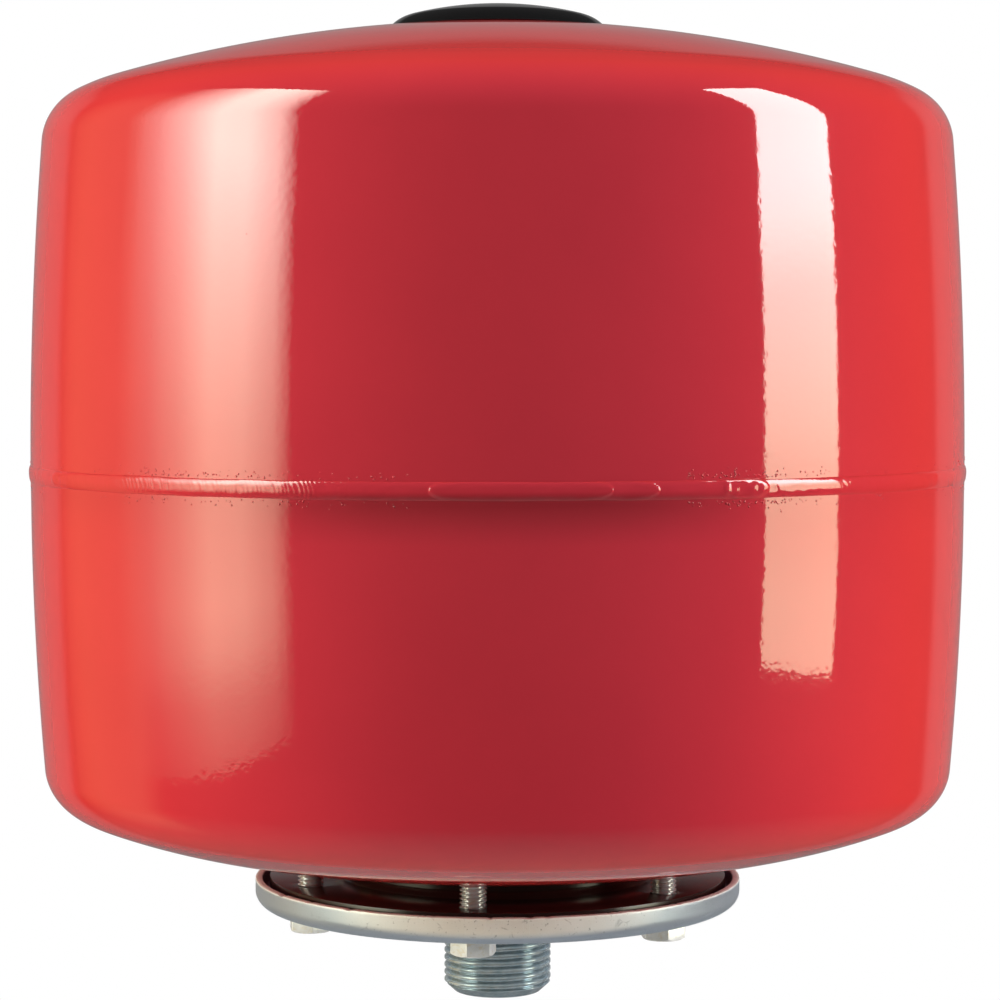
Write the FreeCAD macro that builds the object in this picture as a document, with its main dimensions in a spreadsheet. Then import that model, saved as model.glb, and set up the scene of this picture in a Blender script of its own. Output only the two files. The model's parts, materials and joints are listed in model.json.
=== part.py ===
import FreeCAD, Part

import math
import os

import Sketcher
from FreeCAD import Placement, Rotation, Vector

# Vertical heating expansion vessel with a replaceable membrane.
# The origin is the centre of the water connector's end face, and +Z runs up the vessel's axis.
# Lengths are in millimetres. "level" is a height above the connector's end face, "radius" is
# measured from the axis of the vessel or, on a bolt, from the bolt's own axis.

SIZES = {
    # two pressed steel shells and the girth weld that joins them
    "shell_radius": 143.5,
    "shell_wall": 1.5,
    "seam_level": 163.0,
    "seam_gap": 1.6,
    "bead_height": 4.6,
    "bead_rise": 0.9,
    "bead_round": 0.7,
    "root_rise": 0.4,
    "upper_bow": 1250.0,
    "upper_wall_level": 263.5,
    "upper_knuckle": 17.4,
    "upper_shoulder": 51.3,
    "upper_crown": 412.0,
    "crest_level": 299.4,
    "lower_bow": 1110.0,
    "lower_wall_level": 72.3,
    "lower_knuckle": 15.4,
    "lower_shoulder": 164.0,
    "lower_crown": 638.0,
    "bottom_level": 42.4,
    # recess pressed into the crest for the air valve
    "recess_radius": 26.0,
    "recess_lip": 4.0,
    "recess_round": 4.0,
    "floor_level": 277.0,
    # neck and the ring welded to it
    "neck_radius": 47.5,
    "neck_round": 3.0,
    "ring_radius": 71.0,
    "ring_bore": 42.5,
    "ring_low": 33.2,
    "ring_top": 37.2,
    "neck_weld_leg": 2.2,
    # dished counter-flange and its screws
    "flange_radius": 75.5,
    "flange_sheet": 2.2,
    "flange_level": 28.3,
    "flange_round": 4.2,
    "rim_level": 36.5,
    "pitch_radius": 62.0,
    "flange_hole": 4.5,
    "ring_hole": 4.02,
    "screw_radius": 4.0,
    "screw_length": 16.0,
    "screw_point": 0.7,
    "head_flat": 6.0,
    "head_height": 5.0,
    "head_bevel": 0.75,
    # membrane
    "lip_bore": 39.5,
    "lip_radius": 56.0,
    "bag_wall": 2.0,
    "bag_neck": 42.0,
    "bag_neck_level": 56.0,
    "bag_neck_round": 9.0,
    "bag_radius": 127.0,
    "bag_low": 86.0,
    "bag_low_round": 46.0,
    "bag_high": 240.0,
    "bag_high_round": 60.0,
    "bag_top_flat": 24.0,
    "bag_top_round": 90.0,
    "bag_top": 260.0,
    # water connector, G1 male
    "thread_radius": 16.62,
    "thread_end": 25.0,
    "runout_end": 25.8,
    "nipple_radius": 15.4,
    "nipple_mouth": 13.3,
    "nipple_chamfer": 3.0,
    "nipple_bore": 12.0,
    "nipple_weld_leg": 2.5,
    # air valve: welded bush, brass body with a tyre-valve thread, core and cap
    "bush_radius": 9.0,
    "bush_low": 270.0,
    "bush_top": 281.0,
    "bush_bore": 5.02,
    "bush_weld_leg": 2.0,
    "body_radius": 5.0,
    "body_low": 271.0,
    "body_seal_top": 282.5,
    "body_seal_radius": 7.2,
    "hex_flat": 7.0,
    "hex_top": 287.5,
    "hex_bevel": 0.6,
    "stem_radius": 3.85,
    "stem_top": 296.0,
    "stem_chamfer": 0.5,
    "core_bore": 2.62,
    "chamber_radius": 2.8,
    "chamber_top": 288.6,
    "core_head_radius": 2.6,
    "core_head_low": 289.6,
    "core_top": 294.4,
    "core_radius": 2.2,
    "core_tail_radius": 1.9,
    "core_tail_top": 281.0,
    "core_low": 277.0,
    "core_cavity": 1.75,
    "core_cavity_low": 282.0,
    "core_hole": 0.95,
    "core_seal_low": 284.5,
    "core_seal_high": 287.2,
    "pin_radius": 0.6,
    "pin_top": 295.6,
    "collar_radius": 1.55,
    "collar_low": 291.2,
    "collar_high": 292.0,
    "cup_radius": 1.9,
    "cup_low": 274.6,
    "cup_top": 276.0,
    "pin_seal_radius": 1.8,
    "spring_radius": 1.25,
    "spring_wire": 0.16,
    "spring_pitch": 1.3,
    "cap_radius": 5.0,
    "cap_inside": 3.9,
    "cap_low": 288.4,
    "cap_top": 298.6,
    "cap_round": 1.0,
    "cap_seal_low": 296.1,
    "cap_seal_high": 297.0,
    "cap_seal_radius": 3.7,
    "cap_groove": 0.3,
    "cap_groove_width": 0.8,
    # push-on cover over the recess
    "cover_radius": 36.0,
    "cover_low": 298.25,
    "cover_shoulder": 11.0,
    "cover_crown": 111.0,
    "cover_top": 306.3,
    "cover_wall": 1.8,
    "skirt_radius": 25.85,
    "skirt_wall": 1.6,
    "skirt_low": 286.0,
    "skirt_slot": 3.0,
}

SCREW_COUNT = 6
FIRST_SCREW = -6.6  # bearing of one screw from the front, in degrees towards +X
SCREW_HEAD_BEARINGS = (15.0, -20.0, 5.0, 28.0, -8.0, -21.0)  # where each head's flat came to rest
SKIRT_SLOTS = 8
CAP_GROOVES = 18
BEVEL_ANGLE = math.radians(30)  # of the turned corners of a hexagon, from its end face
BEVEL_INSET = 0.25  # how far the bevel's circle lies inside the flats, as a share of the bevel
COIL_GAP = 0.25  # play at each end of the spring, as a share of its wire's radius
PAST = 1.0  # how far a cut runs past the material
CLOSE = 0.01  # levels nearer than this are the same

document = FreeCAD.newDocument("ExpansionVessel")


class Size:
    """A number together with the sheet expression that it comes from."""

    def __init__(self, number, text):
        self.number = float(number)
        self.text = text

    def _with(self, other, sign, number):
        text = other.text if isinstance(other, Size) else repr(float(other))
        return Size(number, f"({self.text} {sign} {text})")

    def __add__(self, other):
        return self._with(other, "+", self.number + as_number(other))

    def __sub__(self, other):
        return self._with(other, "-", self.number - as_number(other))

    def __mul__(self, other):
        return self._with(other, "*", self.number * as_number(other))

    def __truediv__(self, other):
        return self._with(other, "/", self.number / as_number(other))


def as_number(size):
    return size.number if isinstance(size, Size) else float(size)


def write_sheet():
    sheet = document.addObject("Spreadsheet::Sheet", "Sizes")
    for row, (name, number) in enumerate(SIZES.items(), start=1):
        sheet.set(f"A{row}", name)
        sheet.set(f"B{row}", str(number))
        sheet.setAlias(f"B{row}", name)
    document.recompute()
    return sheet


class Sheet:
    """Reads sizes[name] as a Size bound to its cell."""

    def __init__(self, sheet):
        self.sheet = sheet

    def __getattr__(self, name):
        return Size(self.sheet.get(name), f"Sizes.{name}")


sizes = Sheet(write_sheet())
AXIS = Size(0.0, "0")


# ---- sketching ----

def new_body(label):
    body = document.addObject("PartDesign::Body", label)
    body.Label = label
    return body


def origin_feature(body, role):
    return next(item for item in body.Origin.OriginFeatures if item.Role == role)


def new_sketch(body, name, plane="XZ_Plane"):
    sketch = body.newObject("Sketcher::SketchObject", f"{body.Label}_{name}")
    sketch.AttachmentSupport = [(origin_feature(body, plane), "")]
    sketch.MapMode = "FlatFace"
    return sketch


def bind(sketch, kind, *where, size):
    """Adds a dimension and ties it to the sheet."""
    index = sketch.addConstraint(Sketcher.Constraint(kind, *where, size.number))
    sketch.setExpression(f"Constraints[{index}]", size.text)


def place(sketch, geometry, end, radius=None, level=None):
    """Ties one end of a piece of geometry to a radius, a level or both."""
    for kind, size, axis in (("DistanceX", radius, -2), ("DistanceY", level, -1)):
        if size is AXIS:
            sketch.addConstraint(Sketcher.Constraint("PointOnObject", geometry, end, axis))
        elif size is not None:
            bind(sketch, kind, -1, 1, geometry, end, size=size)


def join(sketch, kind, first, second):
    sketch.addConstraint(Sketcher.Constraint(kind, *first, *second))


def heading(vector):
    return math.atan2(vector.y, vector.x)


def add_line(sketch, start, end):
    """Returns the line's two ends as (geometry, end number)."""
    line = sketch.addGeometry(Part.LineSegment(start, end))
    return (line, 1), (line, 2)


def add_arc(sketch, centre, radius, start, end):
    """The short arc from start to end, its radius tied to the sheet; returns its two ends."""
    circle = Part.Circle(centre, Vector(0, 0, 1), radius.number)
    first, last = heading(start - centre), heading(end - centre)
    runs_left = (start - centre).cross(end - centre).z > 0
    if runs_left:
        arc = sketch.addGeometry(Part.ArcOfCircle(circle, first, last))
    else:
        arc = sketch.addGeometry(Part.ArcOfCircle(circle, last, first))
    bind(sketch, "Radius", arc, size=radius)
    return ((arc, 1), (arc, 2)) if runs_left else ((arc, 2), (arc, 1))


def add_outline(sketch, corners):
    """A closed outline of straight sides through (radius, level) corners.

    A corner with a third size is rounded to that radius.
    """
    spots = [Vector(as_number(corner[0]), as_number(corner[1]), 0) for corner in corners]
    befores, afters = spots[-1:] + spots[:-1], spots[1:] + spots[:1]
    trims = []
    for spot, corner, before, after in zip(spots, corners, befores, afters):
        back = (before - spot).normalize()
        ahead = (after - spot).normalize()
        half = back.getAngle(ahead) / 2
        reach = corner[2].number / math.tan(half) if len(corner) == 3 else 0.0
        trims.append((spot + back * reach, spot + ahead * reach, half, back + ahead))
    sides = [
        add_line(sketch, here[1], there[0])
        for here, there in zip(trims, trims[1:] + trims[:1])
    ]
    for index, corner in enumerate(corners):
        incoming, outgoing = sides[index - 1][1], sides[index][0]
        if len(corner) == 2:
            join(sketch, "Coincident", incoming, outgoing)
            place(sketch, *outgoing, radius=corner[0], level=corner[1])
            continue
        start, end, half, inward = trims[index]
        centre = spots[index] + inward.normalize() * (corner[2].number / math.sin(half))
        arc_start, arc_end = add_arc(sketch, centre, corner[2], start, end)
        join(sketch, "Tangent", incoming, arc_start)
        join(sketch, "Tangent", arc_end, outgoing)
        tip = sketch.addGeometry(Part.Point(spots[index]), True)
        place(sketch, tip, 1, radius=corner[0], level=corner[1])
        sketch.addConstraint(Sketcher.Constraint("PointOnObject", tip, 1, incoming[0]))
        sketch.addConstraint(Sketcher.Constraint("PointOnObject", tip, 1, outgoing[0]))


# ---- features ----

def revolve(body, sketch):
    turned = body.newObject("PartDesign::Revolution", f"{sketch.Label}_turned")
    turned.Profile = sketch
    turned.ReferenceAxis = (sketch, ["V_Axis"])
    turned.Angle = 360.0
    document.recompute()
    return turned


def turned_body(label, corners):
    """A piece turned about the vessel's axis."""
    body = new_body(label)
    sketch = new_sketch(body, "outline")
    add_outline(sketch, corners)
    revolve(body, sketch)
    return body


def hollow(body, wall, is_open):
    """Leaves a wall of even thickness, open at the faces that is_open picks."""
    base = body.Tip
    names = [f"Face{number}" for number, face in enumerate(base.Shape.Faces, start=1) if is_open(face)]
    shell = body.newObject("PartDesign::Thickness", f"{body.Label}_hollow")
    shell.Base = (base, names)
    shell.Reversed = True
    shell.setExpression("Value", wall.text)
    document.recompute()
    return shell


def flat_at(level):
    """Picks flat faces that lie at a level."""
    def is_there(face):
        if not isinstance(face.Surface, Part.Plane):
            return False
        box = face.BoundBox
        return box.ZLength < CLOSE and abs(box.ZMin - level.number) < CLOSE
    return is_there


def cut_through(body, name, draw, repeats=1, upward=True, plane="XY_Plane"):
    """Cuts what draw() sketches right through the body, repeated about the vessel's axis."""
    before = body.Shape.Volume
    sketch = new_sketch(body, name, plane)
    draw(sketch)
    pocket = body.newObject("PartDesign::Pocket", f"{body.Label}_{name}_cut")
    pocket.Profile = sketch
    pocket.Type = "ThroughAll"
    pocket.Reversed = upward
    document.recompute()
    if repeats > 1:
        pattern = body.newObject("PartDesign::PolarPattern", f"{body.Label}_{name}_pattern")
        pattern.Originals = [pocket]
        pattern.Axis = (origin_feature(body, "Z_Axis"), [""])
        pattern.Angle = 360.0
        pattern.Occurrences = repeats
        body.Tip = pattern
        document.recompute()
    if body.Shape.Volume >= before:
        raise RuntimeError(f"{body.Label}: {name} removed nothing")


def draw_circle(sketch, radius, centre_radius=None, bearing=0.0):
    """A circle on the vessel's axis or at a bearing from the front."""
    turn = math.radians(bearing)
    reach = as_number(centre_radius) if centre_radius else 0.0
    centre = Vector(reach * math.sin(turn), -reach * math.cos(turn), 0)
    circle = sketch.addGeometry(Part.Circle(centre, Vector(0, 0, 1), radius.number))
    bind(sketch, "Radius", circle, size=radius)
    if centre_radius:
        place(sketch, circle, 3, centre_radius * math.sin(turn), centre_radius * -math.cos(turn))
    else:
        join(sketch, "Coincident", (circle, 3), (-1, 1))


def draw_hexagon(sketch, flat):
    """A hexagon about the origin with a flat facing -Y; flat is half the width across flats."""
    corner_reach = flat / math.cos(math.radians(30))
    corners = [
        Vector(math.sin(math.radians(turn)), -math.cos(math.radians(turn)), 0) * corner_reach.number
        for turn in range(30, 390, 60)
    ]
    sides = [add_line(sketch, here, there) for here, there in zip(corners, corners[1:] + corners[:1])]
    for index, turn in enumerate(range(30, 390, 60)):
        join(sketch, "Coincident", sides[index - 1][1], sides[index][0])
        across = corner_reach * math.sin(math.radians(turn))
        along = corner_reach * -math.cos(math.radians(turn))
        place(sketch, *sides[index][0], radius=across, level=along)


def pad(body, sketch, length, offset=None):
    padded = body.newObject("PartDesign::Pad", f"{sketch.Label}_pad")
    padded.Profile = sketch
    padded.setExpression("Length", length.text)
    if offset is not None:
        sketch.setExpression("AttachmentOffset.Base.z", offset.text)
    document.recompute()
    return padded


def bevel_corners(body, flat, bevel, level, downward):
    """Turns the corners of a hexagon off, at its bottom or its top."""
    start = flat - bevel * BEVEL_INSET
    reach = flat / math.cos(math.radians(30)) + PAST
    rise = (reach - start) * math.tan(BEVEL_ANGLE)
    far = level + rise if downward else level - rise
    beyond = level - PAST if downward else level + PAST
    before = body.Shape.Volume
    sketch = new_sketch(body, "bevel")
    add_outline(sketch, [(start, level), (reach, far), (reach, beyond), (start, beyond)])
    groove = body.newObject("PartDesign::Groove", f"{body.Label}_bevel_cut")
    groove.Profile = sketch
    groove.ReferenceAxis = (sketch, ["V_Axis"])
    groove.Angle = 360.0
    document.recompute()
    if body.Shape.Volume >= before:
        raise RuntimeError(f"{body.Label}: the bevel removed nothing")


# ---- shells ----

def seam_edge(side):
    """Level of a shell's edge at the seam; side is +1 for the upper shell, -1 for the lower."""
    return sizes.seam_level + sizes.seam_gap * (side / 2)


def shell_arcs(side, wall_level, radii, crest, end_radius, end_side):
    """Centres and joints of a shell's tangent arcs, in (radius, height from the seam).

    radii are those of the bowed wall, the knuckle, the shoulder, the crown and the end.
    end_side is -1 where the crown rolls over a lip and +1 where it flares into a neck.
    """
    bow, knuckle, shoulder, crown, end_round = (size.number for size in radii)
    seam = sizes.seam_level.number
    height = side * (wall_level.number - seam)
    bow_centre = Vector(sizes.shell_radius.number - bow, 0, 0)
    wall_end = bow_centre + Vector(math.sqrt(bow**2 - height**2), height, 0)
    knuckle_centre = wall_end + (bow_centre - wall_end) * (knuckle / bow)
    crown_centre = Vector(0, side * (crest.number - seam) - crown, 0)
    # the shoulder's centre is a known distance from the knuckle's and from the crown's
    span = knuckle_centre - crown_centre
    far, near = crown - shoulder, shoulder - knuckle
    along = (far**2 - near**2 + span.Length**2) / (2 * span.Length)
    ahead = Vector(span).normalize()
    off = Vector(-ahead.y, ahead.x, 0) * math.sqrt(far**2 - along**2)
    shoulder_centre = crown_centre + ahead * along + off
    end_x = end_radius.number + end_round
    end_rise = math.sqrt((crown + end_side * end_round)**2 - end_x**2)
    end_centre = Vector(end_x, crown_centre.y + end_rise, 0)
    joints = [
        wall_end,
        shoulder_centre + (knuckle_centre - shoulder_centre).normalize() * shoulder,
        crown_centre + (shoulder_centre - crown_centre).normalize() * crown,
        crown_centre + (end_centre - crown_centre).normalize() * crown,
        Vector(end_radius.number, end_centre.y, 0),
    ]
    return [bow_centre, knuckle_centre, shoulder_centre, crown_centre, end_centre], joints


def draw_shell_face(sketch, side, wall_level, radii, crest, end_radius, end_side):
    """A shell's outer face; returns each end of it as an end and its place."""
    seam, edge_level = sizes.seam_level, seam_edge(side)
    centres, joints = shell_arcs(side, wall_level, radii, crest, end_radius, end_side)
    edge_height = abs(edge_level.number - seam.number)
    start = centres[0] + Vector(math.sqrt(radii[0].number**2 - edge_height**2), edge_height, 0)

    def spot(point):
        return Vector(point.x, seam.number + side * point.y, 0)

    arcs = [
        add_arc(sketch, spot(centre), radius, spot(first), spot(last))
        for centre, radius, first, last in zip(centres, radii, [start] + joints, joints)
    ]
    for before, after in zip(arcs, arcs[1:]):
        join(sketch, "Tangent", before[1], after[0])
    bow, crown = radii[0], radii[3]
    bow_arc, crown_arc = arcs[0][0][0], arcs[3][0][0]
    place(sketch, bow_arc, 3, sizes.shell_radius - bow, seam)
    place(sketch, *arcs[0][0], level=edge_level)
    place(sketch, *arcs[0][1], level=wall_level)
    place(sketch, crown_arc, 3, AXIS, crest - crown * side)
    return (arcs[0][0], spot(start)), (arcs[-1][1], spot(joints[-1]))


def shell_body(label, side, wall_level, radii, crest, end_radius, end_side, end_level,
               corner_round=None):
    """A shell, solid inside its outer face and its recess or neck."""
    body = new_body(label)
    sketch = new_sketch(body, "outline")
    (seam_end, seam_spot), (far_end, far_spot) = draw_shell_face(
        sketch, side, wall_level, radii, crest, end_radius, end_side)

    # down the recess or along the neck
    end = end_level.number
    turn = corner_round.number if corner_round else 0.0
    foot = Vector(end_radius.number, end + turn, 0)
    wall = add_line(sketch, far_spot, foot)
    join(sketch, "Tangent", far_end, wall[0])
    place(sketch, *wall[1], radius=end_radius)

    # across to the axis
    flat_start = Vector(end_radius.number - turn, end, 0)
    flat = add_line(sketch, flat_start, Vector(0, end, 0))
    if corner_round:
        corner = add_arc(sketch, flat_start + Vector(0, turn, 0), corner_round, foot, flat_start)
        join(sketch, "Tangent", wall[1], corner[0])
        join(sketch, "Tangent", corner[1], flat[0])
    else:
        join(sketch, "Coincident", wall[1], flat[0])
        sketch.addConstraint(Sketcher.Constraint("Horizontal", flat[0][0]))
    place(sketch, *flat[1], AXIS, end_level)

    # back along the axis and out to the seam
    edge_level = seam_edge(side)
    middle = Vector(0, edge_level.number, 0)
    inner = add_line(sketch, Vector(0, end, 0), middle)
    edge = add_line(sketch, middle, seam_spot)
    join(sketch, "Coincident", flat[1], inner[0])
    join(sketch, "Coincident", inner[1], edge[0])
    join(sketch, "Coincident", edge[1], seam_end)
    place(sketch, *inner[1], AXIS, edge_level)
    revolve(body, sketch)
    return body


def upper_shell():
    """Top half, with a recess for the air valve pressed into its crown."""
    radii = (sizes.upper_bow, sizes.upper_knuckle, sizes.upper_shoulder, sizes.upper_crown,
             sizes.recess_lip)
    body = shell_body(
        "upper_shell", 1, sizes.upper_wall_level, radii, sizes.crest_level,
        sizes.recess_radius, -1, sizes.floor_level, sizes.recess_round)
    hollow(body, sizes.shell_wall, flat_at(seam_edge(1)))
    cut_through(body, "bush_hole", lambda sketch: draw_circle(sketch, sizes.bush_radius))


def lower_shell():
    """Bottom half, drawn down into a short neck."""
    radii = (sizes.lower_bow, sizes.lower_knuckle, sizes.lower_shoulder, sizes.lower_crown,
             sizes.neck_round)
    body = shell_body(
        "lower_shell", -1, sizes.lower_wall_level, radii, sizes.bottom_level,
        sizes.neck_radius, 1, sizes.ring_top)
    at_seam, at_neck = flat_at(seam_edge(-1)), flat_at(sizes.ring_top)
    hollow(body, sizes.shell_wall, lambda face: at_seam(face) or at_neck(face))


def girth_weld():
    """Fills the gap between the shells, proud of them inside and out."""
    seam, outside = sizes.seam_level, sizes.shell_radius
    root = outside - sizes.shell_wall - sizes.root_rise
    half_gap, half_bead = sizes.seam_gap / 2, sizes.bead_height / 2
    crest = outside + sizes.bead_rise
    return turned_body("girth_weld", [
        (root, seam - half_gap),
        (outside, seam - half_gap),
        (outside, seam - half_bead),
        (crest, seam - half_bead, sizes.bead_round),
        (crest, seam + half_bead, sizes.bead_round),
        (outside, seam + half_bead),
        (outside, seam + half_gap),
        (root, seam + half_gap),
    ])


# ---- neck, membrane and counter-flange ----

def screw_holes(body, radius):
    def draw(sketch):
        draw_circle(sketch, radius, sizes.pitch_radius, FIRST_SCREW)
    cut_through(body, "screw_holes", draw, SCREW_COUNT)


def neck_ring():
    body = turned_body("neck_ring", [
        (sizes.ring_bore, sizes.ring_low),
        (sizes.ring_radius, sizes.ring_low),
        (sizes.ring_radius, sizes.ring_top),
        (sizes.ring_bore, sizes.ring_top),
    ])
    screw_holes(body, sizes.ring_hole)


def fillet_weld(label, radius, level, leg, side):
    """A weld in the corner between a tube and a plate; side is +1 above the plate, -1 below."""
    return turned_body(label, [(radius, level), (radius + leg, level), (radius, level + leg * side)])


def counter_flange():
    plate_top = sizes.flange_level + sizes.flange_sheet
    rim_inside = sizes.flange_radius - sizes.flange_sheet
    body = turned_body("counter_flange", [
        (sizes.nipple_radius, sizes.flange_level),
        (sizes.flange_radius, sizes.flange_level, sizes.flange_round),
        (sizes.flange_radius, sizes.rim_level),
        (rim_inside, sizes.rim_level),
        (rim_inside, plate_top, sizes.flange_round - sizes.flange_sheet),
        (sizes.nipple_radius, plate_top),
    ])
    screw_holes(body, sizes.flange_hole)


def membrane():
    """A moulded bag, hollowed to its wall, with a flat lip that the flange clamps."""
    lip_low = sizes.flange_level + sizes.flange_sheet
    body = turned_body("membrane", [
        (AXIS, lip_low),
        (sizes.bag_neck, lip_low),
        (sizes.bag_neck, sizes.bag_neck_level, sizes.bag_neck_round),
        (sizes.bag_radius, sizes.bag_low, sizes.bag_low_round),
        (sizes.bag_radius, sizes.bag_high, sizes.bag_high_round),
        (sizes.bag_top_flat, sizes.bag_top, sizes.bag_top_round),
        (AXIS, sizes.bag_top),
    ])
    hollow(body, sizes.bag_wall, flat_at(lip_low))
    lip = new_sketch(body, "lip")
    add_outline(lip, [
        (sizes.lip_bore, lip_low),
        (sizes.lip_radius, lip_low),
        (sizes.lip_radius, sizes.ring_low),
        (sizes.lip_bore, sizes.ring_low),
    ])
    revolve(body, lip)


def water_connector():
    turned_body("water_connector", [
        (sizes.nipple_bore, AXIS),
        (sizes.nipple_mouth, AXIS),
        (sizes.thread_radius, sizes.nipple_chamfer),
        (sizes.thread_radius, sizes.thread_end),
        (sizes.nipple_radius, sizes.runout_end),
        (sizes.nipple_radius, sizes.flange_level + sizes.flange_sheet),
        (sizes.nipple_bore, sizes.flange_level + sizes.flange_sheet),
    ])


def screw_blank():
    """One hexagon-head screw on its own axis, its bearing face at level 0 and its point upward."""
    body = new_body("screw_blank")
    head = new_sketch(body, "head", "XY_Plane")
    draw_hexagon(head, sizes.head_flat)
    pad(body, head, sizes.head_height).Reversed = True
    document.recompute()
    bevel_corners(body, sizes.head_flat, sizes.head_bevel, AXIS - sizes.head_height, True)
    shank = new_sketch(body, "shank")
    add_outline(shank, [
        (AXIS, AXIS),
        (sizes.screw_radius, AXIS),
        (sizes.screw_radius, sizes.screw_length - sizes.screw_point),
        (sizes.screw_radius - sizes.screw_point, sizes.screw_length),
        (AXIS, sizes.screw_length),
    ])
    revolve(body, shank)
    return body


def flange_bolts():
    """The six screws as separate solids in one group."""
    blank = screw_blank()
    screws = []
    for index, head_bearing in enumerate(SCREW_HEAD_BEARINGS):
        bearing = math.radians(FIRST_SCREW + index * 360 / SCREW_COUNT)
        spot = Vector(math.sin(bearing), -math.cos(bearing), 0) * sizes.pitch_radius.number
        spot.z = sizes.flange_level.number
        screw = blank.Shape.copy()
        screw.Placement = Placement(spot, Rotation(Vector(0, 0, 1), head_bearing))
        screws.append(screw)
    group = document.addObject("Part::Feature", "flange_bolts")
    group.Shape = Part.makeCompound(screws)
    group.Placement = Placement()


# ---- air valve ----

def valve_bush():
    turned_body("valve_bush", [
        (sizes.bush_bore, sizes.bush_low),
        (sizes.bush_radius, sizes.bush_low),
        (sizes.bush_radius, sizes.bush_top),
        (sizes.bush_bore, sizes.bush_top),
    ])


def valve_seal():
    turned_body("valve_seal", [
        (sizes.body_radius, sizes.bush_top),
        (sizes.body_seal_radius, sizes.bush_top),
        (sizes.body_seal_radius, sizes.body_seal_top),
        (sizes.body_radius, sizes.body_seal_top),
    ])


def valve_body():
    """Screwed foot, hexagon and threaded stem, bored for the core."""
    body = new_body("valve_body")
    hexagon = new_sketch(body, "hexagon", "XY_Plane")
    draw_hexagon(hexagon, sizes.hex_flat)
    pad(body, hexagon, sizes.hex_top - sizes.body_seal_top, offset=sizes.body_seal_top)
    bevel_corners(body, sizes.hex_flat, sizes.hex_bevel, sizes.hex_top, False)
    stem = new_sketch(body, "stem")
    add_outline(stem, [
        (AXIS, sizes.body_low),
        (sizes.body_radius, sizes.body_low),
        (sizes.body_radius, sizes.body_seal_top),
        (sizes.stem_radius, sizes.hex_top),
        (sizes.stem_radius, sizes.stem_top - sizes.stem_chamfer),
        (sizes.stem_radius - sizes.stem_chamfer, sizes.stem_top),
        (AXIS, sizes.stem_top),
    ])
    revolve(body, stem)
    before = body.Shape.Volume
    bore = new_sketch(body, "bore")
    add_outline(bore, [
        (AXIS, sizes.body_low - PAST),
        (sizes.chamber_radius, sizes.body_low - PAST),
        (sizes.chamber_radius, sizes.chamber_top),
        (sizes.core_bore, sizes.core_head_low),
        (sizes.core_bore, sizes.stem_top + PAST),
        (AXIS, sizes.stem_top + PAST),
    ])
    groove = body.newObject("PartDesign::Groove", "valve_body_bored")
    groove.Profile = bore
    groove.ReferenceAxis = (bore, ["V_Axis"])
    groove.Angle = 360.0
    document.recompute()
    if body.Shape.Volume >= before:
        raise RuntimeError("valve_body: the bore removed nothing")


def valve_core():
    """Screwed-in barrel of the valve core, with a cavity for the spring."""
    turned_body("valve_core", [
        (sizes.core_hole, sizes.core_low),
        (sizes.core_tail_radius, sizes.core_low),
        (sizes.core_tail_radius, sizes.core_tail_top),
        (sizes.core_radius, sizes.core_tail_top),
        (sizes.core_radius, sizes.core_head_low),
        (sizes.core_head_radius, sizes.core_head_low),
        (sizes.core_head_radius, sizes.core_top),
        (sizes.core_cavity, sizes.core_top),
        (sizes.core_cavity, sizes.core_cavity_low),
        (sizes.core_hole, sizes.core_cavity_low),
    ])


def valve_core_seal():
    turned_body("valve_core_seal", [
        (sizes.core_radius, sizes.core_seal_low),
        (sizes.core_radius + (sizes.chamber_radius - sizes.core_radius) / 2, sizes.core_seal_low),
        (sizes.chamber_radius, sizes.core_seal_high),
        (sizes.core_radius, sizes.core_seal_high),
    ])


def valve_pin():
    """Core pin with the collar that the spring pushes on and the cup that holds its seal."""
    turned_body("valve_pin", [
        (AXIS, sizes.cup_low),
        (sizes.cup_radius, sizes.cup_low),
        (sizes.cup_radius, sizes.cup_top),
        (sizes.pin_radius, sizes.cup_top),
        (sizes.pin_radius, sizes.collar_low),
        (sizes.collar_radius, sizes.collar_low),
        (sizes.collar_radius, sizes.collar_high),
        (sizes.pin_radius, sizes.collar_high),
        (sizes.pin_radius, sizes.pin_top),
        (AXIS, sizes.pin_top),
    ])


def valve_pin_seal():
    turned_body("valve_pin_seal", [
        (sizes.pin_radius, sizes.cup_top),
        (sizes.pin_seal_radius, sizes.cup_top),
        (sizes.pin_seal_radius, sizes.core_low),
        (sizes.pin_radius, sizes.core_low),
    ])


def valve_spring():
    """Coil spring between the floor of the core's cavity and the pin's collar."""
    body = new_body("valve_spring")
    wire = new_sketch(body, "wire")
    play = sizes.spring_wire * (1 + COIL_GAP)
    low = sizes.core_cavity_low + play
    centre = Vector(sizes.spring_radius.number, low.number, 0)
    circle = wire.addGeometry(Part.Circle(centre, Vector(0, 0, 1), sizes.spring_wire.number))
    bind(wire, "Radius", circle, size=sizes.spring_wire)
    place(wire, circle, 3, sizes.spring_radius, low)
    coil = body.newObject("PartDesign::AdditiveHelix", "valve_spring_coil")
    coil.Profile = wire
    coil.ReferenceAxis = (wire, ["V_Axis"])
    coil.Mode = "pitch-height-angle"
    coil.setExpression("Pitch", sizes.spring_pitch.text)
    coil.setExpression("Height", (sizes.collar_low - low - play).text)
    document.recompute()


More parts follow.
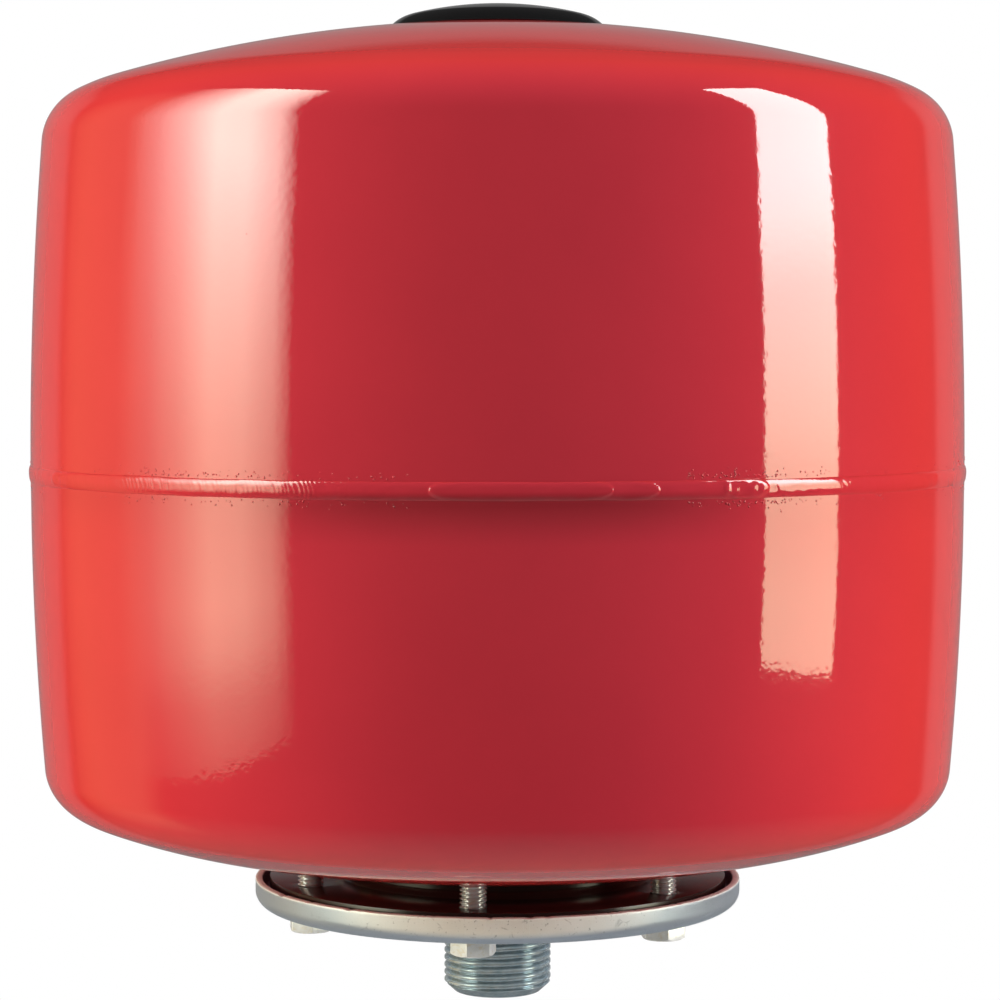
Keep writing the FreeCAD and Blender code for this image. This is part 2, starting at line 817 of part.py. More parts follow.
def dust_cap():
    """Cap screwed over the stem, open below, with grip grooves round it."""
    body = turned_body("dust_cap", [
        (sizes.cap_inside, sizes.cap_low),
        (sizes.cap_radius, sizes.cap_low),
        (sizes.cap_radius, sizes.cap_top, sizes.cap_round),
        (AXIS, sizes.cap_top),
        (AXIS, sizes.cap_seal_high),
        (sizes.cap_inside, sizes.cap_seal_high),
    ])

    def draw(sketch):
        half = sizes.cap_groove_width / 2
        near, far = AXIS - sizes.cap_radius + sizes.cap_groove, AXIS - sizes.cap_radius - PAST
        add_outline(sketch, [
            (AXIS - half, far),
            (half, far),
            (half, near),
            (AXIS - half, near),
        ])
    cut_through(body, "grip", draw, CAP_GROOVES)


def dust_cap_seal():
    turned_body("dust_cap_seal", [
        (AXIS, sizes.cap_seal_low),
        (sizes.cap_seal_radius, sizes.cap_seal_low),
        (sizes.cap_seal_radius, sizes.cap_seal_high),
        (AXIS, sizes.cap_seal_high),
    ])


# ---- cover ----

def cover_face(sketch, inset):
    """The dome's rim and roof arcs, set in from the outside; returns its foot and its top."""
    crown, shoulder = sizes.cover_crown, sizes.cover_shoulder
    edge = sizes.cover_radius - shoulder
    crown_centre = Vector(0, (sizes.cover_top - crown).number, 0)
    reach = crown.number - shoulder.number
    shoulder_centre = crown_centre + Vector(edge.number, math.sqrt(reach**2 - edge.number**2), 0)
    rim_radius, roof_radius = shoulder - inset, crown - inset
    drop = shoulder_centre.y - sizes.cover_low.number
    foot = shoulder_centre + Vector(math.sqrt(rim_radius.number**2 - drop**2), -drop, 0)
    joint = crown_centre + (shoulder_centre - crown_centre).normalize() * roof_radius.number
    top = crown_centre + Vector(0, roof_radius.number, 0)
    rim = add_arc(sketch, shoulder_centre, rim_radius, foot, joint)
    roof = add_arc(sketch, crown_centre, roof_radius, joint, top)
    join(sketch, "Tangent", rim[1], roof[0])
    place(sketch, rim[0][0], 3, radius=edge)
    place(sketch, *rim[0], level=sizes.cover_low)
    place(sketch, roof[0][0], 3, radius=AXIS)
    place(sketch, *roof[1], AXIS, sizes.cover_top - inset)
    return (rim[0], foot), (roof[1], top)


def valve_cover():
    """Shallow dome over the recess with a slotted skirt that grips the recess wall."""
    body = new_body("valve_cover")
    dome = new_sketch(body, "dome")
    outside = cover_face(dome, AXIS)
    inside = cover_face(dome, sizes.cover_wall)
    for (outer_end, outer_spot), (inner_end, inner_spot) in zip(outside, inside):
        side = add_line(dome, outer_spot, inner_spot)
        join(dome, "Coincident", side[0], outer_end)
        join(dome, "Coincident", side[1], inner_end)
    revolve(body, dome)

    skirt_inside = sizes.skirt_radius - sizes.skirt_wall
    skirt = new_sketch(body, "skirt")
    skirt_top = sizes.cover_top - sizes.cover_wall * 2
    add_outline(skirt, [
        (skirt_inside, sizes.skirt_low),
        (sizes.skirt_radius, sizes.skirt_low),
        (sizes.skirt_radius, skirt_top),
        (skirt_inside, skirt_top),
    ])
    revolve(body, skirt)

    def draw_slot(sketch):
        half = sizes.skirt_slot / 2
        add_outline(sketch, [
            (AXIS - half, sizes.skirt_low - PAST),
            (half, sizes.skirt_low - PAST),
            (half, sizes.cover_low),
            (AXIS - half, sizes.cover_low),
        ])
    cut_through(body, "slots", draw_slot, SKIRT_SLOTS, upward=False, plane="XZ_Plane")


# ---- the vessel ----

def build():
    upper_shell()
    lower_shell()
    girth_weld()
    neck_ring()
    fillet_weld("neck_weld", sizes.neck_radius, sizes.ring_top, sizes.neck_weld_leg, 1)
    counter_flange()
    membrane()
    water_connector()
    fillet_weld("connector_weld", sizes.nipple_radius, sizes.flange_level, sizes.nipple_weld_leg, -1)
    flange_bolts()
    valve_bush()
    fillet_weld("valve_bush_weld", sizes.bush_radius, sizes.floor_level, sizes.bush_weld_leg, 1)
    valve_seal()
    valve_body()
    valve_core()
    valve_core_seal()
    valve_pin()
    valve_pin_seal()
    valve_spring()
    dust_cap()
    dust_cap_seal()
    valve_cover()


NODES = (
    "upper_shell", "lower_shell", "girth_weld", "neck_ring", "neck_weld", "counter_flange", "membrane",
    "water_connector", "connector_weld", "flange_bolts", "valve_bush", "valve_bush_weld", "valve_seal",
    "valve_body", "valve_core", "valve_core_seal", "valve_pin", "valve_pin_seal", "valve_spring",
    "dust_cap", "dust_cap_seal", "valve_cover",
)


def check():
    """Stops if any object failed, or if a piece has no valid shape."""
    document.recompute()
    for item in document.Objects:
        if "Invalid" in item.State or "Error" in item.State:
            raise RuntimeError(f"{item.Label} failed: {item.State}")
    for label in NODES:
        shape = document.getObjectsByLabel(label)[0].Shape
        if shape.isNull() or not shape.isValid():
            raise RuntimeError(f"{label} has no valid shape")
        print(f"{label:18s} solids {len(shape.Solids)}  volume {shape.Volume:12.2f} mm3")


def write():
    os.makedirs("parts", exist_ok=True)
    for label in NODES:
        document.getObjectsByLabel(label)[0].Shape.exportStep(f"parts/{label}.step")


build()
check()
write()
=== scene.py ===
import json
import math
from functools import partial
from random import Random

import bmesh
import bpy
from mathutils import Matrix, Vector, noise

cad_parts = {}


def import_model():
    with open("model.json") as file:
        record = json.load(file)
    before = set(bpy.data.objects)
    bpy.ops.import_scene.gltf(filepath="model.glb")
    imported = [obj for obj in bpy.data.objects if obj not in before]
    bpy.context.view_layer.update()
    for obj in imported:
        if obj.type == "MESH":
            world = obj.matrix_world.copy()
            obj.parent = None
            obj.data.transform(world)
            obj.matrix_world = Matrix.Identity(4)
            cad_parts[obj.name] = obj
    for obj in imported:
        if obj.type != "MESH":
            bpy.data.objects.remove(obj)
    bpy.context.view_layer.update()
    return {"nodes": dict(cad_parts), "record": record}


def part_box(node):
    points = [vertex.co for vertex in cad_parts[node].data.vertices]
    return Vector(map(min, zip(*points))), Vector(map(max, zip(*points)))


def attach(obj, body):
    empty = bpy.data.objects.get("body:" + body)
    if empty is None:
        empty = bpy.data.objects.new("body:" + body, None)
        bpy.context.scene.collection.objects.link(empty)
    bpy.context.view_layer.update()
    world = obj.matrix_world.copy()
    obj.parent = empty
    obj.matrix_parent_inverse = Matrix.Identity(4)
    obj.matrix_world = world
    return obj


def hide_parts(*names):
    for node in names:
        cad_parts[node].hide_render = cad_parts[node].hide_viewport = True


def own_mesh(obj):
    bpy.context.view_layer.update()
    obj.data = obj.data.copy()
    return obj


# Looks of the expansion vessel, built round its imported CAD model.
# Object positions are in metres. The piece builders work in millimetres: a "level" is a height
# above the connector's end face and a "radius" is measured from a piece's own axis.
# Bearings are in degrees from the front (-Y), positive towards +X.

MM = 0.001
TAU = 2 * math.pi

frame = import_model()


def span(node):
    """Outside radius, lowest level and highest level of a round CAD node."""
    low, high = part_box(node)
    return (high.x - low.x) / 2 / MM, low.z / MM, high.z / MM


SHELL_RADIUS = 143.5
BEAD_CREST, BEAD_LOW, BEAD_HIGH = span("girth_weld")
SEAM = (BEAD_LOW + BEAD_HIGH) / 2
RING_RADIUS, RING_LOW, RING_TOP = span("neck_ring")
FLANGE_RADIUS, FLANGE_LOW, RIM_TOP = span("counter_flange")
THREAD_RADIUS, CONNECTOR_LOW, CONNECTOR_TOP = span("water_connector")
SKIRT_LOW, COVER_TOP = span("valve_cover")[1:]
BUSH_RADIUS = span("valve_bush")[0]
BODY_LOW, STEM_TOP = span("valve_body")[1:]
CAP_RADIUS, CAP_LOW, CAP_TOP = span("dust_cap")
SEAL_TOP = span("dust_cap_seal")[2]
SHELL_WALL = 1.5
FLANGE_SHEET = 2.2
NIPPLE_RADIUS = 15.4  # of the water connector above its thread
SCREW_CIRCLE = 62.0
FIRST_SCREW = -6.6  # bearing of one screw
SCREW_HEADS = (15.0, -20.0, 5.0, 28.0, -8.0, -21.0)  # how far each screw's head is turned, in degrees
BEVEL_SLOPE = math.tan(math.radians(30))  # of the turned corners of a hexagon


# ---- curves and noise ----

def smooth_step(low, high, value):
    """Eases from 0 at low to 1 at high."""
    share = min(1.0, max(0.0, (value - low) / (high - low)))
    return share * share * (3 - 2 * share)


def between(start, full, fade, end, value):
    """Eases up to 1 from start to full, and back down to 0 from fade to end."""
    return smooth_step(start, full, value) * (1 - smooth_step(fade, end, value))


def hump(centre, width, value):
    """A bell of height 1."""
    return math.exp(-((value - centre) / width) ** 2)


def rough(turn, spacing, radius, row=0.0):
    """Noise round a circle, from -1 to 1, with features about spacing millimetres apart."""
    reach = radius / spacing
    return noise.noise(Vector((math.cos(turn) * reach, math.sin(turn) * reach, row)))


def arc(centre, radius, start, end, steps):
    """Points along an arc between two directions, in degrees anticlockwise from outward."""
    turns = [math.radians(start + (end - start) * step / steps) for step in range(steps + 1)]
    return [(centre[0] + radius * math.cos(turn), centre[1] + radius * math.sin(turn)) for turn in turns]


def arc_between(centre, first, last, steps):
    """Points along the short arc about a centre from one point to another."""
    start = math.degrees(math.atan2(first[1] - centre[1], first[0] - centre[0]))
    end = math.degrees(math.atan2(last[1] - centre[1], last[0] - centre[0]))
    end += 360 * round((start - end) / 360)
    return arc(centre, math.dist(centre, first), start, end, steps)


def offset(points, distance):
    """A line of points moved sideways, to the right of its direction where distance is positive."""
    moved = []
    for index, (x, y) in enumerate(points):
        before, after = points[max(index - 1, 0)], points[min(index + 1, len(points) - 1)]
        along = Vector((after[0] - before[0], after[1] - before[1])).normalized()
        moved.append((x + along.y * distance, y - along.x * distance))
    return moved


# ---- meshes ----

def placed(ring, turn):
    """Where a ring is at a turn. It is a radius and a level, and each or both may be functions."""
    radius, level = ring(turn) if callable(ring) else ring
    radius, level = (value(turn) if callable(value) else value for value in (radius, level))
    return radius * math.cos(turn) * MM, radius * math.sin(turn) * MM, level * MM


def bridge(mesh, row, beyond):
    """Faces between two rows of points, each row closed on itself."""
    for index, point in enumerate(row):
        after = (index + 1) % len(row)
        mesh.faces.new((point, row[after], beyond[after], beyond[index]))


def revolved(rings, turns, closed=True):
    """A mesh joining rings about an axis, and the last ring to the first where it is closed."""
    mesh = bmesh.new()
    rows = [[mesh.verts.new(placed(ring, turn)) for turn in turns] for ring in rings]
    for row, beyond in zip(rows, rows[1:] + rows[:1] if closed else rows[1:]):
        bridge(mesh, row, beyond)
    bmesh.ops.remove_doubles(mesh, verts=mesh.verts, dist=MM * 1e-4)
    bmesh.ops.recalc_face_normals(mesh, faces=mesh.faces)
    return mesh


def circle(count):
    """Turns spread evenly round a circle."""
    return [TAU * index / count for index in range(count)]


def merged(meshes):
    """One mesh made of several, each given with its placement."""
    whole = bmesh.new()
    for part, placement in meshes:
        bmesh.ops.transform(part, matrix=placement, verts=part.verts)
        data = bpy.data.meshes.new("part")
        part.to_mesh(data)
        part.free()
        whole.from_mesh(data)
        bpy.data.meshes.remove(data)
    return whole


def linked(name, data):
    """An object in the scene."""
    item = bpy.data.objects.new(name, data)
    bpy.context.scene.collection.objects.link(item)
    return item


def new_object(name, mesh):
    data = bpy.data.meshes.new(name)
    mesh.to_mesh(data)
    mesh.free()
    return linked(name, data)


def cut(item, cutter_mesh):
    """Takes the cutter's solids out of an object."""
    cutter = new_object("cutter", cutter_mesh)
    modifier = item.modifiers.new("cut", "BOOLEAN")
    modifier.operation = "DIFFERENCE"
    modifier.solver = "EXACT"
    modifier.object = cutter
    evaluated = item.evaluated_get(bpy.context.evaluated_depsgraph_get())
    result = bpy.data.meshes.new_from_object(evaluated)
    item.modifiers.clear()
    item.data = result
    bpy.data.objects.remove(cutter)


def piece(item, slot, nodes=(), crease=30.0, body="vessel"):
    """Shades an object, dresses it in a slot's material and puts it on a body in place of CAD nodes."""
    item.data.shade_smooth()
    item.data.set_sharp_from_angle(angle=math.radians(crease))
    item.data.materials.clear()
    item.data.materials.append(MATERIALS[slot])
    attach(item, body)
    if nodes:
        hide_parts(*nodes)
    return item


# ---- materials ----

MATERIALS = {}


class Tree:
    """The nodes of a material, a light or the world."""

    def __init__(self, tree):
        self.tree = tree

    def node(self, kind, settings=None, **inputs):
        made = self.tree.nodes.new(kind)
        for name, value in (settings or {}).items():
            setattr(made, name, value)
        for name, value in inputs.items():
            self.set(made.inputs[name.replace("_", " ")], value)
        return made

    def set(self, socket, value):
        if isinstance(value, bpy.types.NodeSocket):
            self.tree.links.new(value, socket)
        else:
            socket.default_value = value

    def vector(self, operation, first, second=None, output="Vector", **inputs):
        made = self.node("ShaderNodeVectorMath", {"operation": operation}, **inputs)
        self.set(made.inputs[0], first)
        if second is not None:
            self.set(made.inputs[1], second)
        return made.outputs[output]

    def maths(self, operation, first, second):
        made = self.node("ShaderNodeMath", {"operation": operation})
        self.set(made.inputs[0], first)
        self.set(made.inputs[1], second)
        return made.outputs[0]

    def times(self, first, second):
        return self.maths("MULTIPLY", first, second)

    def ramp(self, share, *stops):
        """Turns a share into a number, given as pairs of share and number."""
        made = self.node("ShaderNodeValToRGB", Fac=share)
        elements = made.color_ramp.elements
        while len(elements) < len(stops):
            elements.new(1.0)
        for element, (position, value) in zip(elements, stops):
            element.position = position
            element.color = (value, value, value, 1)
        return made.outputs["Color"]

    def blend(self, share, first, second):
        made = self.node("ShaderNodeMix", {"data_type": "RGBA"})
        self.set(made.inputs[0], share)
        self.set(made.inputs[6], first)
        self.set(made.inputs[7], second)
        return made.outputs[2]

    def curve(self, value, stops):
        """Follows straight runs between stops, each a value and a result."""
        low, high = stops[0][0], stops[-1][0]
        peak = max(result for _, result in stops)
        share = self.node("ShaderNodeMapRange", Value=value, From_Min=low, From_Max=high).outputs["Result"]
        shares = [((at - low) / (high - low), result / peak) for at, result in stops]
        return self.times(self.ramp(share, *shares), peak)


class Graph(Tree):
    """A material with one shader; its textures are placed by the mesh, in millimetres."""

    def __init__(self, name):
        self.material = MATERIALS[name] = bpy.data.materials.new(name)
        self.material.use_nodes = True
        super().__init__(self.material.node_tree)
        self.shader = self.tree.nodes["Principled BSDF"]
        place = self.node("ShaderNodeTexCoord")
        self.place = self.vector("SCALE", place.outputs["Object"], Scale=1000.0)

    def noise(self, size, detail=2.0, stretch=(1, 1, 1)):
        """Noise with features of a size in millimetres, drawn out by stretch along each axis."""
        shrink = tuple(1 / (size * share) for share in stretch)
        where = self.vector("MULTIPLY", self.place, shrink)
        return self.node("ShaderNodeTexNoise", Vector=where, Scale=1.0, Detail=detail).outputs["Fac"]

    def cells(self, size, feature="F1", output="Distance"):
        """Cells of a size in millimetres."""
        where = self.vector("MULTIPLY", self.place, (1 / size, 1 / size, 1 / size))
        made = self.node("ShaderNodeTexVoronoi", {"feature": feature}, Vector=where, Scale=1.0)
        return made.outputs[output]

    def along(self, distance, reach, *stops):
        """Turns a distance of up to reach into a number, given as pairs of millimetres and number."""
        return self.ramp(self.maths("DIVIDE", distance, reach), *[(at / reach, value) for at, value in stops])

    def slant(self, *stops):
        """Turns how edge-on the surface is seen into a number, given as pairs of share and number."""
        return self.ramp(self.node("ShaderNodeLayerWeight", Blend=0.35).outputs["Facing"], *stops)

    def axis(self, letter):
        """Distance along one axis of the vessel, in millimetres; Z is the level."""
        return self.node("ShaderNodeSeparateXYZ", Vector=self.place).outputs[letter]

    def radius(self):
        """Distance from the vessel's axis, in millimetres."""
        flat = self.vector("MULTIPLY", self.place, (1, 1, 0))
        return self.vector("LENGTH", flat, output="Value")

    def bump(self, height, depth, onto=None):
        """Raises the surface by a depth in millimetres where height is 1."""
        made = self.node("ShaderNodeBump", Height=height, Distance=depth * MM)
        if onto is not None:
            self.set(made.inputs["Normal"], onto)
        return made.outputs["Normal"]

    def shade(self, **inputs):
        for name, value in inputs.items():
            self.set(self.shader.inputs[name.replace("_", " ")], value)


def enamel():
    """Glossy stove enamel with fine orange peel over a slightly uneven pressing.

    Shade is painted into its colour in the gap above the flange, where it is also duller, and below the
    weld's front.
    """
    graph = Graph("red_enamel")
    peel = graph.bump(graph.noise(1.8, 1.0), 0.013)
    uneven = graph.bump(graph.noise(20.0, 0.0, (1, 1, 1.8)), 0.03, peel)
    tone = graph.ramp(graph.noise(40.0, 2.0), (0.35, 0.0), (0.65, 1.0))
    facing = graph.blend(tone, (0.455, 0.0255, 0.0440, 1), (0.475, 0.0270, 0.0455, 1))
    edge_on = graph.blend(tone, (0.480, 0.0260, 0.0270, 1), (0.495, 0.0275, 0.0285, 1))
    # Painted light: the enamel is made warmer and a little lighter where seen edge-on, standing in for its
    # brightly lit sides.
    colour = graph.blend(graph.slant((0.05, 0.0), (0.45, 1.0)), facing, edge_on)
    # Painted shade: the enamel is darkened just below the girth weld, most of all at the front.
    painted_shade_below_weld = graph.along(graph.axis("Z"), 200.0, (148.0, 0.0), (158.4, 1.0), (161.0, 1.0), (162.4, 0.0))
    painted_shade_below_weld = graph.times(painted_shade_below_weld, graph.along(graph.axis("Y"), -150.0, (-124.5, 0.15), (-139.5, 1.0)))
    colour = graph.blend(graph.times(painted_shade_below_weld, 0.50), colour, (0.10, 0.010, 0.012, 1))
    # Painted shade: the enamel is darkened in the gap above the flange, and made duller there.
    painted_gap_shade = graph.along(graph.axis("Z"), 200.0, (41.0, 1.0), (44.4, 0.0))
    colour = graph.blend(painted_gap_shade, colour, (0.026, 0.009, 0.008, 1))
    gloss = graph.ramp(graph.noise(0.8, 3.0), (0.3, 0.03), (0.7, 0.055))
    gloss = graph.maths("ADD", gloss, graph.times(painted_gap_shade, 0.16))
    shine = graph.maths("SUBTRACT", 0.5, graph.times(painted_gap_shade, 0.24))
    graph.shade(Base_Color=colour, Roughness=gloss, IOR=1.8, Specular_IOR_Level=shine, Normal=uneven)


def hairlines(graph):
    """Fine scratches, upright and level."""
    upright = graph.ramp(graph.noise(0.35, 2.0, (1, 1, 26)), (0.60, 0.0), (0.66, 1.0))
    level = graph.ramp(graph.noise(0.30, 2.0, (22, 22, 1)), (0.61, 0.0), (0.67, 1.0))
    return graph.maths("MAXIMUM", upright, level)


def pits_and_cracks(graph):
    """Small pits all over, and fine cracks in worn patches."""
    pits = graph.ramp(graph.noise(0.9, 3.0), (0.64, 0.0), (0.71, 1.0))
    cracks = graph.ramp(graph.cells(7.0, "DISTANCE_TO_EDGE"), (0.0, 1.0), (0.035, 0.0))
    worn = graph.ramp(graph.noise(5.0, 3.0), (0.55, 0.0), (0.65, 1.0))
    return graph.maths("MAXIMUM", pits, graph.times(cracks, worn))


def galvanised():
    """Hot-dipped sheet: faint spangle, hairline scratches, small pits and a bare sheared edge.

    Painted reflection makes it blue-grey and more metallic at a slant; its sheared edge is painted white.
    """
    graph = Graph("galvanised_sheet")
    spangle = graph.ramp(graph.cells(5.0, output="Color"), (0.0, 0.0), (1.0, 1.0))
    cloud = graph.noise(9.0, 4.0)
    scratches = hairlines(graph)
    marks = pits_and_cracks(graph)
    base = graph.blend(cloud, (0.85, 0.83, 0.78, 1), (0.96, 0.94, 0.90, 1))
    base = graph.blend(graph.times(spangle, 0.22), base, (0.90, 0.92, 0.95, 1))
    base = graph.blend(graph.times(marks, 0.60), base, (0.26, 0.24, 0.21, 1))
    base = graph.blend(graph.times(scratches, 0.35), base, (0.95, 0.95, 0.93, 1))
    # Painted reflection: the sheet is made blue-grey, and more metallic below, where seen at a slant.
    slant = graph.slant((0.03, 0.0), (0.22, 1.0))
    base = graph.blend(graph.times(slant, 0.85), base, (0.53, 0.62, 0.76, 1))
    # Painted highlight: the bare sheared edge along the rim's top is painted near white and made matt.
    edge = graph.along(graph.axis("Z"), 100.0, (35.8, 0.0), (36.4, 1.0))
    base = graph.blend(edge, base, (0.98, 0.97, 0.95, 1))
    gloss = graph.maths("ADD", graph.times(cloud, 0.12), 0.42)
    sheen = graph.maths("ADD", graph.times(slant, 0.55), 0.30)
    sheen = graph.times(sheen, graph.maths("SUBTRACT", 1.0, graph.times(edge, 0.8)))
    dents = graph.bump(graph.noise(6.0, 2.0), 0.05)
    surface = graph.bump(scratches, -0.006, graph.bump(marks, -0.02, dents))
    graph.shade(Base_Color=base, Metallic=sheen, Roughness=gloss, Normal=surface)


def zinc(name, low, high, stain, gloss, sheen, roots=None):
    """Electroplated zinc: cloudy passivation over fine turning marks; sheen is how metallic it looks.

    roots are the radii, from the vessel's axis, between which painted shade in a thread's roots fades out.
    """
    graph = Graph(name)
    cloud = graph.ramp(graph.noise(2.6, 4.0), (0.3, 0.0), (0.7, 1.0))
    patches = graph.ramp(graph.noise(1.5, 4.0, (1, 1, 0.7)), (0.54, 0.0), (0.66, 1.0))
    base = graph.blend(cloud, low, high)
    base = graph.blend(graph.times(patches, 0.5), base, stain)
    if roots:
        # Painted shade: the thread's roots are darkened to a dark teal.
        painted_root_shade = graph.along(graph.radius(), 20.0, (roots[0], 1.0), (roots[1], 0.0))
        base = graph.blend(graph.times(painted_root_shade, 0.55), base, (0.04, 0.09, 0.12, 1))
    turning = graph.bump(graph.noise(0.12, 2.0, (40, 40, 1)), 0.004)
    surface = graph.bump(graph.noise(0.5, 2.0), 0.012, turning)
    matt = graph.maths("ADD", graph.times(cloud, 0.12), gloss)
    graph.shade(Base_Color=base, Metallic=sheen(graph), Roughness=matt, Normal=surface)


def even_sheen(graph):
    """The connector is as bright all over."""
    return 0.72


def screw_sheen(graph):
    """The heads are dulled by handling; the shanks above them stay bright."""
    return graph.along(graph.axis("Z"), 100.0, (28.5, 0.34), (30.0, 0.72))


def rubber(name, colour, gloss):
    """Moulded rubber with a fine grain and a trace of bloom."""
    graph = Graph(name)
    bloom = graph.ramp(graph.noise(7.0, 4.0), (0.4, 0.0), (0.75, 1.0))
    pale = tuple(value * 2.2 + 0.012 for value in colour[:3]) + (1,)
    base = graph.blend(graph.times(bloom, 0.5), colour, pale)
    surface = graph.bump(graph.noise(0.25, 2.0), 0.01)
    matt = graph.maths("ADD", graph.times(bloom, 0.15), gloss)
    graph.shade(Base_Color=base, Roughness=matt, Normal=surface)


def brass():
    """Turned brass, lightly tarnished."""
    graph = Graph("valve_brass")
    tarnish = graph.ramp(graph.noise(2.0, 4.0), (0.35, 0.0), (0.75, 1.0))
    base = graph.blend(tarnish, (0.80, 0.61, 0.28, 1), (0.62, 0.44, 0.19, 1))
    turning = graph.bump(graph.noise(0.1, 2.0, (30, 30, 1)), 0.003)
    matt = graph.maths("ADD", graph.times(tarnish, 0.16), 0.18)
    graph.shade(Base_Color=base, Metallic=1.0, Roughness=matt, Normal=turning)


def drawn_wire():
    """Bright spring wire with drawing marks."""
    graph = Graph("spring_steel")
    streaks = graph.noise(0.05, 2.0, (6, 6, 1))
    base = graph.blend(streaks, (0.55, 0.55, 0.55, 1), (0.72, 0.72, 0.71, 1))
    graph.shade(Base_Color=base, Metallic=1.0, Roughness=0.22, Normal=graph.bump(streaks, 0.002))


def moulded(name, colour, gloss, grain):
    """Moulded plastic with a slight grain and a little dust."""
    graph = Graph(name)
    dust = graph.ramp(graph.noise(0.45, 3.0), (0.70, 0.0), (0.78, 1.0))
    patch = graph.ramp(graph.noise(6.0, 2.0), (0.45, 0.0), (0.7, 1.0))
    dusty = graph.times(graph.times(dust, patch), 0.25)
    base = graph.blend(dusty, colour, (0.20, 0.19, 0.18, 1))
    surface = graph.bump(graph.noise(0.9, 2.0), grain)
    matt = graph.maths("ADD", graph.times(dusty, 0.4), gloss)
    graph.shade(Base_Color=base, Roughness=matt, Normal=surface)


enamel()
galvanised()
zinc(
    "zinc_connector", (0.46, 0.60, 0.70, 1), (0.74, 0.84, 0.92, 1), (0.70, 0.72, 0.70, 1), 0.11,
    even_sheen, (15.75, 16.2),
)
zinc(
    "zinc_screw", (0.74, 0.76, 0.80, 1), (0.88, 0.90, 0.95, 1), (0.70, 0.60, 0.42, 1), 0.14,
    screw_sheen,
)
rubber("membrane_rubber", (0.030, 0.030, 0.032, 1), 0.60)
rubber("seal_rubber", (0.020, 0.020, 0.020, 1), 0.45)
brass()
drawn_wire()
moulded("cap_plastic", (0.020, 0.020, 0.020, 1), 0.34, 0.006)
moulded("cover_plastic", (0.0045, 0.0045, 0.005, 1), 0.09, 0.002)


# ---- shells ----

SHELL_TURNS = circle(360)
# A shell's outer face is five tangent arcs: the bowed wall, the knuckle, the shoulder, the crown and a
# small round at its end. side is 1 above the seam and -1 below it, wall_level is where the wall meets
# the knuckle, and crest is where the crown would meet the axis. end_side is -1 where the crown rounds
# over into its end and 1 where it curves out of it.
ARC_STEPS = (14, 30, 34, 30, 10)
UPPER = {
    "side": 1, "wall_level": 263.5, "radii": (1250.0, 17.4, 51.3, 412.0, 4.0), "crest": 299.4,
    "end_radius": 26.0, "end_side": -1,
}
LOWER = {
    "side": -1, "wall_level": 72.3, "radii": (1110.0, 15.4, 164.0, 638.0, 3.0), "crest": 42.4,
    "end_radius": 47.5, "end_side": 1,
}
SEAM_GAP = 1.6
BEAD_FOOT_LEVEL = 159.9  # the weld sags a little onto the lower shell
NEAR_SEAM = [2.0 + 1.2 * step for step in range(24)]  # where the wall is divided, from the seam
NEAR_SEAM_END = 36.0
RIM_REACH = 120.0  # every part of the wall is farther out than this
FLOOR_LEVEL = 277.0  # of the recess in the upper shell
FLOOR_ROUND = 4.0


def wall_point(bow, height):
    """Where the bowed wall is at a height from the seam."""
    return SHELL_RADIUS - bow + math.sqrt(bow**2 - height**2), height


def shell_arcs(side, wall_level, radii, crest, end_radius, end_side):
    """Centres and joints of a shell's arcs, as distances from the axis and from the seam."""
    bow, knuckle, shoulder, crown, end_round = radii
    bow_centre = Vector((SHELL_RADIUS - bow, 0))
    wall_end = Vector(wall_point(bow, side * (wall_level - SEAM)))
    knuckle_centre = wall_end + (bow_centre - wall_end) * (knuckle / bow)
    crown_centre = Vector((0, side * (crest - SEAM) - crown))
    span_between = knuckle_centre - crown_centre
    far, near = crown - shoulder, shoulder - knuckle
    length = span_between.length
    along = (far**2 - near**2 + length**2) / (2 * length)
    ahead = span_between.normalized()
    aside = Vector((-ahead.y, ahead.x)) * math.sqrt(far**2 - along**2)
    shoulder_centre = crown_centre + ahead * along + aside
    end_x = end_radius + end_round
    end_rise = math.sqrt((crown + end_side * end_round) ** 2 - end_x**2)
    end_centre = Vector((end_x, crown_centre.y + end_rise))
    joints = [
        Vector(wall_point(bow, NEAR_SEAM_END)),
        wall_end,
        shoulder_centre + (knuckle_centre - shoulder_centre).normalized() * shoulder,
        crown_centre + (shoulder_centre - crown_centre).normalized() * crown,
        crown_centre + (end_centre - crown_centre).normalized() * crown,
        Vector((end_radius, end_centre.y)),
    ]
    return [bow_centre, knuckle_centre, shoulder_centre, crown_centre, end_centre], joints


def shell_face(shape):
    """A shell's outer face from the seam to its recess or neck."""
    centres, joints = shell_arcs(**shape)
    points = [wall_point(shape["radii"][0], height) for height in (SEAM_GAP / 2, *NEAR_SEAM)]
    for centre, first, last, steps in zip(centres, joints, joints[1:], ARC_STEPS):
        points += arc_between(centre, first, last, steps)[:-1]
    points.append(tuple(joints[-1]))
    return [(radius, SEAM + shape["side"] * height) for radius, height in points]


def set_in(bearing, level):
    """How far the lower shell is drawn in just below the weld, most of all at the front."""
    below = BEAD_FOOT_LEVEL - level
    if below <= 0:
        return 0.0
    draw_in, recover = 4, 14
    deepest = 0.15 + 0.50 * hump(5, 22, bearing)
    return deepest * (1 - math.exp(-below / draw_in)) * math.exp(-below / recover)


def shell(name, shape, end):
    """A pressed shell of even wall, from its outer face and the points that end it."""
    outside = shell_face(shape) + end
    inside = offset(outside, -SHELL_WALL * shape["side"])
    item = new_object(name, revolved(outside + inside[::-1], SHELL_TURNS))
    for vertex in item.data.vertices:
        across = Vector((vertex.co.x, vertex.co.y))
        if across.length > RIM_REACH * MM:
            bearing = math.degrees(math.atan2(across.x, -across.y))
            share = 1 - set_in(bearing, vertex.co.z / MM) * MM / across.length
            vertex.co.x *= share
            vertex.co.y *= share
    return piece(item, "red_enamel", [name.replace("_skin", "")])


